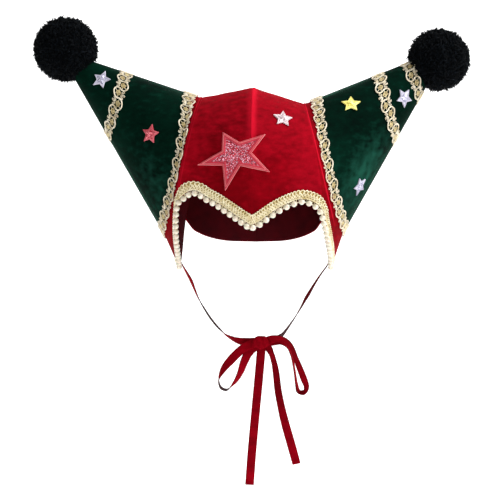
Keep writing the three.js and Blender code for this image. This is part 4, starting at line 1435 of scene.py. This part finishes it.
def pearl_string():
    tilt = np.radians(np.linspace(-84, 84, 15))
    at = (pearl_middle[:, None] + PEARL_RADIUS * np.sin(tilt)).ravel()
    swell = np.tile(np.maximum(PEARL_RADIUS * np.cos(tilt), THREAD_RADIUS), pearl_count)
    path = np.stack([np.interp(at, pearl_way, axis) for axis in pearl_path.T], 1)
    bundle = Bundle()
    bundle.tube(path, (0.02, 1.0, 0.03), swell, 20)
    return add_piece("pearl_string_beads", bundle, [pearl], "pearl", "pearl_string")


pearl_string()
print("pearls:", pearl_count)

# %% [markdown]
# The gold braid above them is plaited from cords that wind to and fro over a darker tape, which
# shows between them as painted shade. A chain of small picots runs along the top and a fine loop hangs
# under each pearl. Down the ear flaps the braid is mostly turned under the edge. Each cord is a tube
# that rises where it crosses over another, so that the light catches it as it does the real thread.

# %% Rim braid
PLAIT_PITCH = 3.2
# nearest to the edge, furthest from it, share of a turn
PLAIT_CORDS = [(0.8, 4.4, 0.0), (2.4, 6.2, 0.36), (4.2, 8.2, 0.7)]
PLAIT_CORD = 0.46
TAPE_CORNERS = [(0.4, 0.35), (0.4, 0.7), (8.5, 0.7), (8.5, 0.35)]
TAPE_STEP = 1.2
PICOT_LINE, PICOT_REACH, PICOT_CORD = 8.0, 1.5, 0.5
FOOT_LINE, FOOT_CORD = 0.6, 0.55
LOOP_WIDTH, LOOP_START, LOOP_HANG, LOOP_CORD = 7.4, 0.325, 4.94, 0.36
TIP_COVER = 0.75
CORNER_BLEND = (-18, 2)
TIP_BLEND = (-14, -6)
braid_start, braid_stop = trim_at[0] + 1.0, trim_at[-1] - 1.0


def braid_cover(s):
    """How much of the braid's width shows: all of it on the crown, a part on the ear flaps."""
    cover = np.ones_like(s)
    for side in (LEFT, RIGHT):
        along = s * side["sign"]
        past_corner = along - crown_corner[side["name"]]
        narrowed = 1 + (side["flap_cover"] - 1) * smoothstep(past_corner, *CORNER_BLEND)
        narrowed += (TIP_COVER - side["flap_cover"]) * smoothstep(along - along.max(), *TIP_BLEND)
        cover = np.where(along > 0, narrowed, cover)
    return cover


def rim_braid():
    bundle = Bundle()

    def place(s, into, height):
        return on_trim(s, into * braid_cover(s), height)

    # The tape is a darker sheet under the cords, painted shade in the gaps between them.
    lie = np.linspace(braid_start, braid_stop, round((braid_stop - braid_start) / TAPE_STEP))
    tape = [place(lie, into, height)[0] for into, height in TAPE_CORNERS]
    first = bundle.add_points(np.stack(tape, 1))
    faces, column, row = grid_faces(len(lie), 4, True)
    bundle.add_faces(faces + first, 1, np.stack([column * TAPE_STEP, row], -1))
    bundle.close_ends(first, len(lie), 4, finish=1)
    lean = np.arange(braid_start, braid_stop, PLAIT_PITCH / 10)
    for low, high, phase in PLAIT_CORDS:
        turn = 2 * np.pi * (lean / PLAIT_PITCH + phase)
        swing = (low + high) / 2 - (high - low) / 2 * np.cos(turn)
        thick = PLAIT_CORD * (0.35 + 0.65 * braid_cover(lean))
        bundle.tube(*place(lean + 0.5 * np.sin(turn), swing, 1.05 + 0.3 * np.sin(turn + 0.8)), thick, 6)
    picot = np.arange(braid_start, braid_stop, PLAIT_PITCH / 8)
    scallop = PICOT_REACH * np.abs(np.sin(picot * np.pi / PLAIT_PITCH))
    bundle.tube(*on_trim(picot, PICOT_LINE * braid_cover(picot) + scallop, 0.9), PICOT_CORD, 6)
    bundle.tube(*place(picot, FOOT_LINE + 0.25 * np.sin(picot * 2.1), 0.95), FOOT_CORD, 6)
    swing = np.linspace(-0.1, np.pi + 0.1, 12)
    for middle in np.interp(pearl_middle, pearl_way, trim_at):
        s = middle - LOOP_WIDTH / 2 * np.cos(swing)
        bundle.tube(*on_trim(s, -LOOP_START - LOOP_HANG * np.sin(swing), 0.0), LOOP_CORD, 5)
    return add_piece("rim_braid_cords", bundle, [rim_thread, rim_shade_tape], "rim_braid", "rim_braid")


rim_braid()

# %% [markdown]
# ## Stars
#
# Each star is a stack of outlines: the same ten corners moved in by a given amount and lifted by
# another. Moving a corner along its bisector keeps the border equally wide all round, which scaling
# doesn't. The corners are rounded a little, as moulded plastic is.

# %% Star outlines
SMALL_RADIUS = 11.2
SMALL_NOTCH = 0.5
SMALL_SOFTEN = 0.5


def even_corners(radius, notch, turn):
    return [(radius * (1 if k % 2 == 0 else notch), turn + 36 * k) for k in range(10)]


def star_outline(corners, inset, soften, per_edge):
    """A ring of points around a star, given by reach and angle, whose edges are moved in by the inset."""
    reach, angle = np.array(corners, float).T
    angle = np.radians(angle)
    corner = np.stack([reach * np.cos(angle), reach * np.sin(angle)], 1)
    after = unit(np.roll(corner, -1, 0) - corner)
    left = np.stack([-after[:, 1], after[:, 0]], 1)
    before_left = np.roll(left, 1, 0)
    bisector = (left + before_left) / (1 + (left * before_left).sum(1, keepdims=True))
    corner = corner + bisector * inset
    before, after = unit(np.roll(corner, 1, 0) - corner), unit(np.roll(corner, -1, 0) - corner)
    t = np.linspace(0, 1, 5)[:, None]
    points = []
    for k in range(10):
        start, stop = corner[k] + before[k] * soften, corner[k] + after[k] * soften
        points.append(start * (1 - t) ** 2 + 2 * corner[k] * t * (1 - t) + stop * t**2)
        onward = corner[(k + 1) % 10] + before[(k + 1) % 10] * soften
        points.append(stop + (onward - stop) * np.linspace(0, 1, per_edge + 2)[1:-1, None])
    return np.vstack(points)


def stacked(bundle, layers, place, first_finish):
    """Rings of points at rising heights, closed at the top; finish says what each step is made of."""
    count = len(layers[0][0])
    base = bundle.add_points(np.vstack([place(outline, height) for outline, height, _ in layers]))
    for k, (_, _, finish) in enumerate(layers[1:]):
        ring = grid_faces(2, count, True)[0] + base + k * count
        bundle.add_faces(ring[:, ::-1], finish)
    ring = np.arange(count) + base
    bundle.add_faces([ring[::-1]], first_finish)
    bundle.add_faces([ring + (len(layers) - 1) * count], layers[-1][2])


small_corners = even_corners(SMALL_RADIUS, SMALL_NOTCH, 0)
print("points around a small star:", len(star_outline(small_corners, 0, SMALL_SOFTEN, 3)))

# %% [markdown]
# The small stars are cast plastic gems: a pale moulded border and a face that rises to the middle in
# ten facets over glitter. Their edges stay sharp, so the mesh is smooth only between faces that meet
# at a small angle. A star's row says which face it lies on and where, its turn, its slot and its two
# tones. The profile's rows are how far in and how high.

# %% Small stars
STAR_STAND = 0.25
SMALL_STARS = [
    ("star_crown", crown_face, RIGHT, 0.54, 29, 18, "silver_star", (160, 138, 144), (226, 210, 212)),
    ("star_left_silver", horn_face, LEFT, 0.804, 17, -5, "silver_star", (126, 123, 150), (206, 203, 215)),
    ("star_left_red", horn_face, LEFT, 0.286, -1.5, 6, "red_star", (150, 14, 34), (238, 126, 136)),
    ("star_right_yellow", horn_face, RIGHT, 0.33, 35, 18, "yellow_star", (220, 202, 72), (244, 236, 152)),
    ("star_right_silver", horn_face, RIGHT, 0.802, -18, -18, "silver_star", (126, 123, 150), (206, 203, 215)),
    ("star_right_low", horn_face, RIGHT, 0.231, -53, 20, "silver_star", (116, 114, 140), (198, 196, 212)),
]
SMALL_PROFILE = [(0, 0), (0, 0.8), (0.2, 1.25), (0.55, 1.5), (0.95, 1.5), (1.25, 1.2), (1.5, 1.2)]
FACETS = [(0.97, 1.25), (0.5, 2.2), (0.04, 3.1)]


def small_star(name, face, side, u, angle, turn, slot, tone, edge):
    u, angle = alike(u, angle)
    drawn = face(side, u, angle)
    out = normal_of(face, side, u, angle) * side["flip"]
    right = unit(np.array([1.0, 0, 0]) - out * out[0])
    up = np.cross(out, right)
    spot = drawn * side["flip"] + out * (STAR_STAND - float(sunk(side, drawn[None])[0]))

    def place(outline, height):
        return spot + outline[:, :1] * right + outline[:, 1:] * up + height * out

    corners = even_corners(SMALL_RADIUS, SMALL_NOTCH, turn)
    layers = [(star_outline(corners, inset, SMALL_SOFTEN, 3), height, 0) for inset, height in SMALL_PROFILE]
    field = star_outline(corners, SMALL_PROFILE[-1][0], 0.3, 3)
    layers += [(field * size, height, 1) for size, height in FACETS]
    bundle = Bundle()
    stacked(bundle, layers, place, 0)
    # A paler copy of the star's tone, for the flakes that are painted glints.
    bright = tuple(min(255, value + 36) for value in tone)
    finishes = [
        embossed(name + "_border", srgb(*tone), srgb(*edge), 0.2),
        glitter(name + "_glitter", srgb(*tone), srgb(*edge), srgb(*bright), 1100.0, 0.35),
    ]
    return add_piece(name + "_gem", bundle, finishes, slot, name, crisp=24)


for star in SMALL_STARS:
    small_star(*star)

# %% [markdown]
# The big patch is laid on the forehead across the centre seam and bends with it. Each of its points
# is looked up on the crown at its own x and height. It has a pale cut edge, a padded pink border with
# a stitched line, and a sunken field of glitter. The corners' rows are reach and angle, and the
# profile's rows how far in, how high and which finish.

# %% Big star
BIG_STAR = {"x": -16.2, "z": 38.5, "stand": 0.75}
BIG_CORNERS = [
    (40.7, -25.6), (17.6, 9.5), (39, 35), (14.6, 72.9), (28, 118.4), (14.8, 160.7), (41.3, 193.7),
    (17, 218.8), (38.7, 254.1), (12.3, 296),
]
BIG_PROFILE = [
    (0, 0, 2), (0, 1.5, 2), (0.35, 2.2, 2), (0.7, 2.5, 0), (1.3, 2.7, 0), (1.6, 2.2, 2), (1.9, 2.2, 2),
    (2.2, 2.7, 0), (3.2, 2.6, 0), (3.6, 2.2, 0), (3.8, 1.9, 0), (4.1, 1.9, 1),
]


def front_point(x, z, stand):
    """A point over the front of the crown at a given x and height."""
    found = np.zeros((len(x), 3))
    for side in (LEFT, RIGHT):
        here = np.sign(x + 1e-9) == side["sign"]
        share = np.abs(x[here]) / 75
        for _ in range(8):
            angle = angle_at_height(crown_face, side, share, z[here])
            share = np.abs(x[here]) / np.maximum(side_seam(side, angle)[:, 0], 1)
        over = normal_of(crown_face, side, share, angle) * stand
        found[here] = (crown_face(side, share, angle) + over) * side["flip"]
    return found


def big_star():
    def place(outline, height):
        x = BIG_STAR["x"] + outline[:, 0]
        z = BIG_STAR["z"] + outline[:, 1]
        return front_point(x, z, BIG_STAR["stand"] + height)

    layers = [
        (star_outline(BIG_CORNERS, inset, 0.6, 7), height, finish) for inset, height, finish in BIG_PROFILE
    ]
    field_inset, field_height, glitter_finish = BIG_PROFILE[-1]
    field = star_outline(BIG_CORNERS, field_inset, 0.5, 7)
    for size in (0.85, 0.7, 0.55, 0.4, 0.25, 0.1):
        layers.append((field * size, field_height + 0.25 * (1 - size), glitter_finish))
    bundle = Bundle()
    stacked(bundle, layers, place, 2)
    finishes = [pink_patch, patch_glitter, patch_edge]
    return add_piece("star_big_patch", bundle, finishes, "pink_patch", "star_big", crisp=40)


big_star()

# %% [markdown]
# ## Pompoms
#
# A pompom is a ball of yarn cut to length, so its surface is thousands of blunt yarn ends. Coarse
# locks and finer tufts stand out of it, and a haze of loose fibres covers it all. Hair particles would
# not become a mesh that can be kept, so each end, lock and tuft is a short bent tube standing on a
# ball, and the fibres are thin tapering blades. Points spread by the golden angle cover the ball
# evenly, and a little jitter hides the pattern. No yarn grows where the horn's tip goes in.

# %% Where the yarn stands
YARN_ENDS = 2500
FIBRES = 8000
CORE_SHARE = 0.72
SOCKET_SHARE = 0.92
TIPS = [
    {
        "count": 520, "scatter": 0.08, "lean": 0.12, "reach": (1.0, 1.06), "swell": 0.05, "clumps": 4,
        "shift": -1, "root": 0.86, "bend": 0.96, "thick": (1.6, 1.25, 0.4), "sides": 5,
    },
    {
        "count": 1500, "scatter": 0.06, "lean": 0.14, "reach": (0.98, 1.04), "swell": 0.07, "clumps": 5,
        "shift": 1, "root": 0.9, "bend": 0.97, "thick": (0.7, 0.45, 0.1), "sides": 4,
    },
]
ANY_WAY = (0.3, 0.5, 0.8)


def golden_ball(count):
    k = np.arange(count) + 0.5
    height = 1 - 2 * k / count
    turn = k * math.pi * (3 - math.sqrt(5))
    level = np.sqrt(1 - height**2)
    return np.stack([level * np.cos(turn), level * np.sin(turn), height], 1)


def clumped(root, clumps, shift):
    """A soft unevenness of the clipped ball, from -1 to 1."""
    return noise.noise((root * clumps + shift).tolist())


def add_core(bundle, centre, radius):
    rings, turns = 20, 40
    lat = np.linspace(-1.55, 1.55, rings)[:, None]
    turn = np.linspace(0, 2 * np.pi, turns, endpoint=False)
    ball = [np.cos(lat) * np.cos(turn), np.cos(lat) * np.sin(turn), np.sin(lat) + 0 * turn]
    first = bundle.add_points(centre + np.stack(ball, -1) * radius * CORE_SHARE)
    bundle.add_faces(grid_faces(rings, turns, True)[0][:, ::-1] + first)
    bundle.close_ends(first, rings, turns, turned=True)


print("yarn ends, locks and tufts:", YARN_ENDS, *(tip["count"] for tip in TIPS))

# %% Pompoms
def add_fibres(bundle, centre, radius, chance, bare):
    root = unit(golden_ball(FIBRES) + chance.normal(0, 0.03, (FIBRES, 3)))
    root = root[~bare(root)]
    lean = unit(root + chance.normal(0, 0.2, root.shape))
    reach = chance.uniform(0.96, 1.03, (len(root), 1))
    beside = unit(np.cross(root, chance.normal(0, 1, root.shape)))
    bow = unit(root + lean + chance.normal(0, 0.12, root.shape)) * 0.95 * radius
    foot = root * 0.88 * radius
    corners = [foot - beside * 0.16, foot + beside * 0.16, bow + beside * 0.14, bow - beside * 0.14]
    first = bundle.add_points(centre + np.stack([*corners, lean * reach * radius], 1))
    index = np.arange(len(root))[:, None] * 5 + first
    bundle.add_faces(index + [0, 1, 2, 3])
    bundle.add_faces(index + [3, 2, 4])


def pompom(side, seed):
    chance = np.random.default_rng(seed)
    centre, radius = np.array(side["pompom"], float), side["pompom_radius"]
    tip = ring_middle(side["tip"]) * side["flip"] - centre
    socket = math.cos(math.atan2(side["tip"]["depth"], np.linalg.norm(tip)) * SOCKET_SHARE)

    def bare(root):
        return root @ unit(tip) > socket

    bundle = Bundle()
    add_core(bundle, centre, radius)
    for root in golden_ball(YARN_ENDS):
        root = unit(root + chance.normal(0, 0.02, 3))
        lean = unit(root + chance.normal(0, 0.11, 3))
        length = 0.95 + 0.06 * clumped(root, 5, seed) + chance.uniform(-0.02, 0.02)
        thick = chance.uniform(0.85, 1.3)
        if bare(root):
            continue
        middle = unit(root * 0.55 + lean * 0.45 + chance.normal(0, 0.02, 3))
        path = centre + radius * np.array([root * 0.68, middle * 0.86, lean * (length - 0.02), lean * length])
        bundle.tube(path, np.cross(root, ANY_WAY), np.array([0.8, 1.1, 1.0, 0.55]) * thick, 5)
    for kind in TIPS:
        for root in golden_ball(kind["count"]):
            root = unit(root + chance.normal(0, kind["scatter"], 3))
            lean = unit(root + chance.normal(0, kind["lean"], 3))
            reach = chance.uniform(*kind["reach"])
            reach += kind["swell"] * clumped(root, kind["clumps"], kind["shift"] * seed)
            if bare(root):
                continue
            bend = unit(root + lean) * kind["bend"]
            path = centre + radius * np.array([root * kind["root"], bend, lean * reach])
            bundle.tube(path, np.cross(root, ANY_WAY), np.array(kind["thick"]), kind["sides"])
    add_fibres(bundle, centre, radius, chance, bare)
    node = "pompom_" + side["name"]
    return add_piece(node + "_yarn", bundle, [black_yarn], "black_yarn", node)


pompom(LEFT, 11)
pompom(RIGHT, 12)

# %% [markdown]
# ## Stage and light
#
# The picture has a plain white ground and soft light from large panels, the stronger ones from the
# right and from above. A floor that bends up into a wall, a sweep, has no line where the two meet. It
# glows a little, as paper does when it is lit on its own.

# %% Stage
FLOOR_HEIGHT = -0.34
FLOOR_FRONT = -4.0
FLOOR_BACK = 2.0
BEND_RADIUS = 0.8
WALL_TOP = 3.5
HALF_WIDTH = 4.5


def sweep():
    bend = [
        (FLOOR_BACK + BEND_RADIUS * math.sin(t), FLOOR_HEIGHT + BEND_RADIUS * (1 - math.cos(t)))
        for t in np.linspace(0, np.pi / 2, 13)
    ]
    section = [(FLOOR_FRONT, FLOOR_HEIGHT), *bend, (FLOOR_BACK + BEND_RADIUS, WALL_TOP)]
    points = [(x, y, z) for x in (-HALF_WIDTH, HALF_WIDTH) for y, z in section]
    count = len(section)
    mesh = bpy.data.meshes.new("sweep")
    mesh.from_pydata(points, [], [(k, k + count, k + count + 1, k + 1) for k in range(count - 1)])
    mesh.polygons.foreach_set("use_smooth", np.ones(count - 1, bool))
    constants = {
        "Base Color": (0.9, 0.9, 0.9, 1),
        "Roughness": 0.9,
        "Emission Color": (1, 1, 1, 1),
        "Emission Strength": 0.6,
    }
    mesh.materials.append(start_finish("paper", constants)[0])
    backdrop = bpy.data.objects.new("sweep", mesh)
    scene.collection.objects.link(backdrop)
    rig.stage(backdrop)
    return backdrop


print("stage:", sweep().name)

# %% Light
LIT_PLACE = Vector((0, 0, -0.02))
WORLD_LIGHT = 0.34
# name, place, size, watts
PANELS = [
    ("key", (2.4, -0.95, 1.4), 1.1, 60.0),
    ("fill", (-1.6, -1.5, 0.7), 1.6, 4.0),
    ("top", (0.9, -0.35, 2.1), 1.0, 48.0),
]

world = bpy.data.worlds.new("studio")
world.use_nodes = True
world.node_tree.nodes["Background"].inputs["Color"].default_value = (1, 1, 1, 1)
world.node_tree.nodes["Background"].inputs["Strength"].default_value = WORLD_LIGHT
scene.world = world
for name, place, size, watts in PANELS:
    lamp = bpy.data.lights.new(name, "AREA")
    lamp.size = size
    lamp.energy = watts
    panel = bpy.data.objects.new(name, lamp)
    panel.location = place
    panel.rotation_euler = (LIT_PLACE - Vector(place)).to_track_quat("-Z", "Y").to_euler()
    scene.collection.objects.link(panel)
scene.view_settings.view_transform = "Standard"
print("panels:", len(PANELS))

# %% [markdown]
# ## The two boxes
#
# The dressed hat has to stay within the solids' box, apart from a little pile. Both boxes, the
# solids' and the dressed hat's, are written down, so that they can be compared.

# %% Sizes and finish
dressed_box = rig.bounds()
boxes = {"solids": solid_box, "dressed": dressed_box}
with open("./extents.json", "w") as sizes:
    json.dump({name: [list(corner) for corner in box] for name, box in boxes.items()}, sizes)
print("solids:", [[round(v, 4) for v in corner] for corner in solid_box])
print("dressed:", [[round(v, 4) for v in corner] for corner in dressed_box])
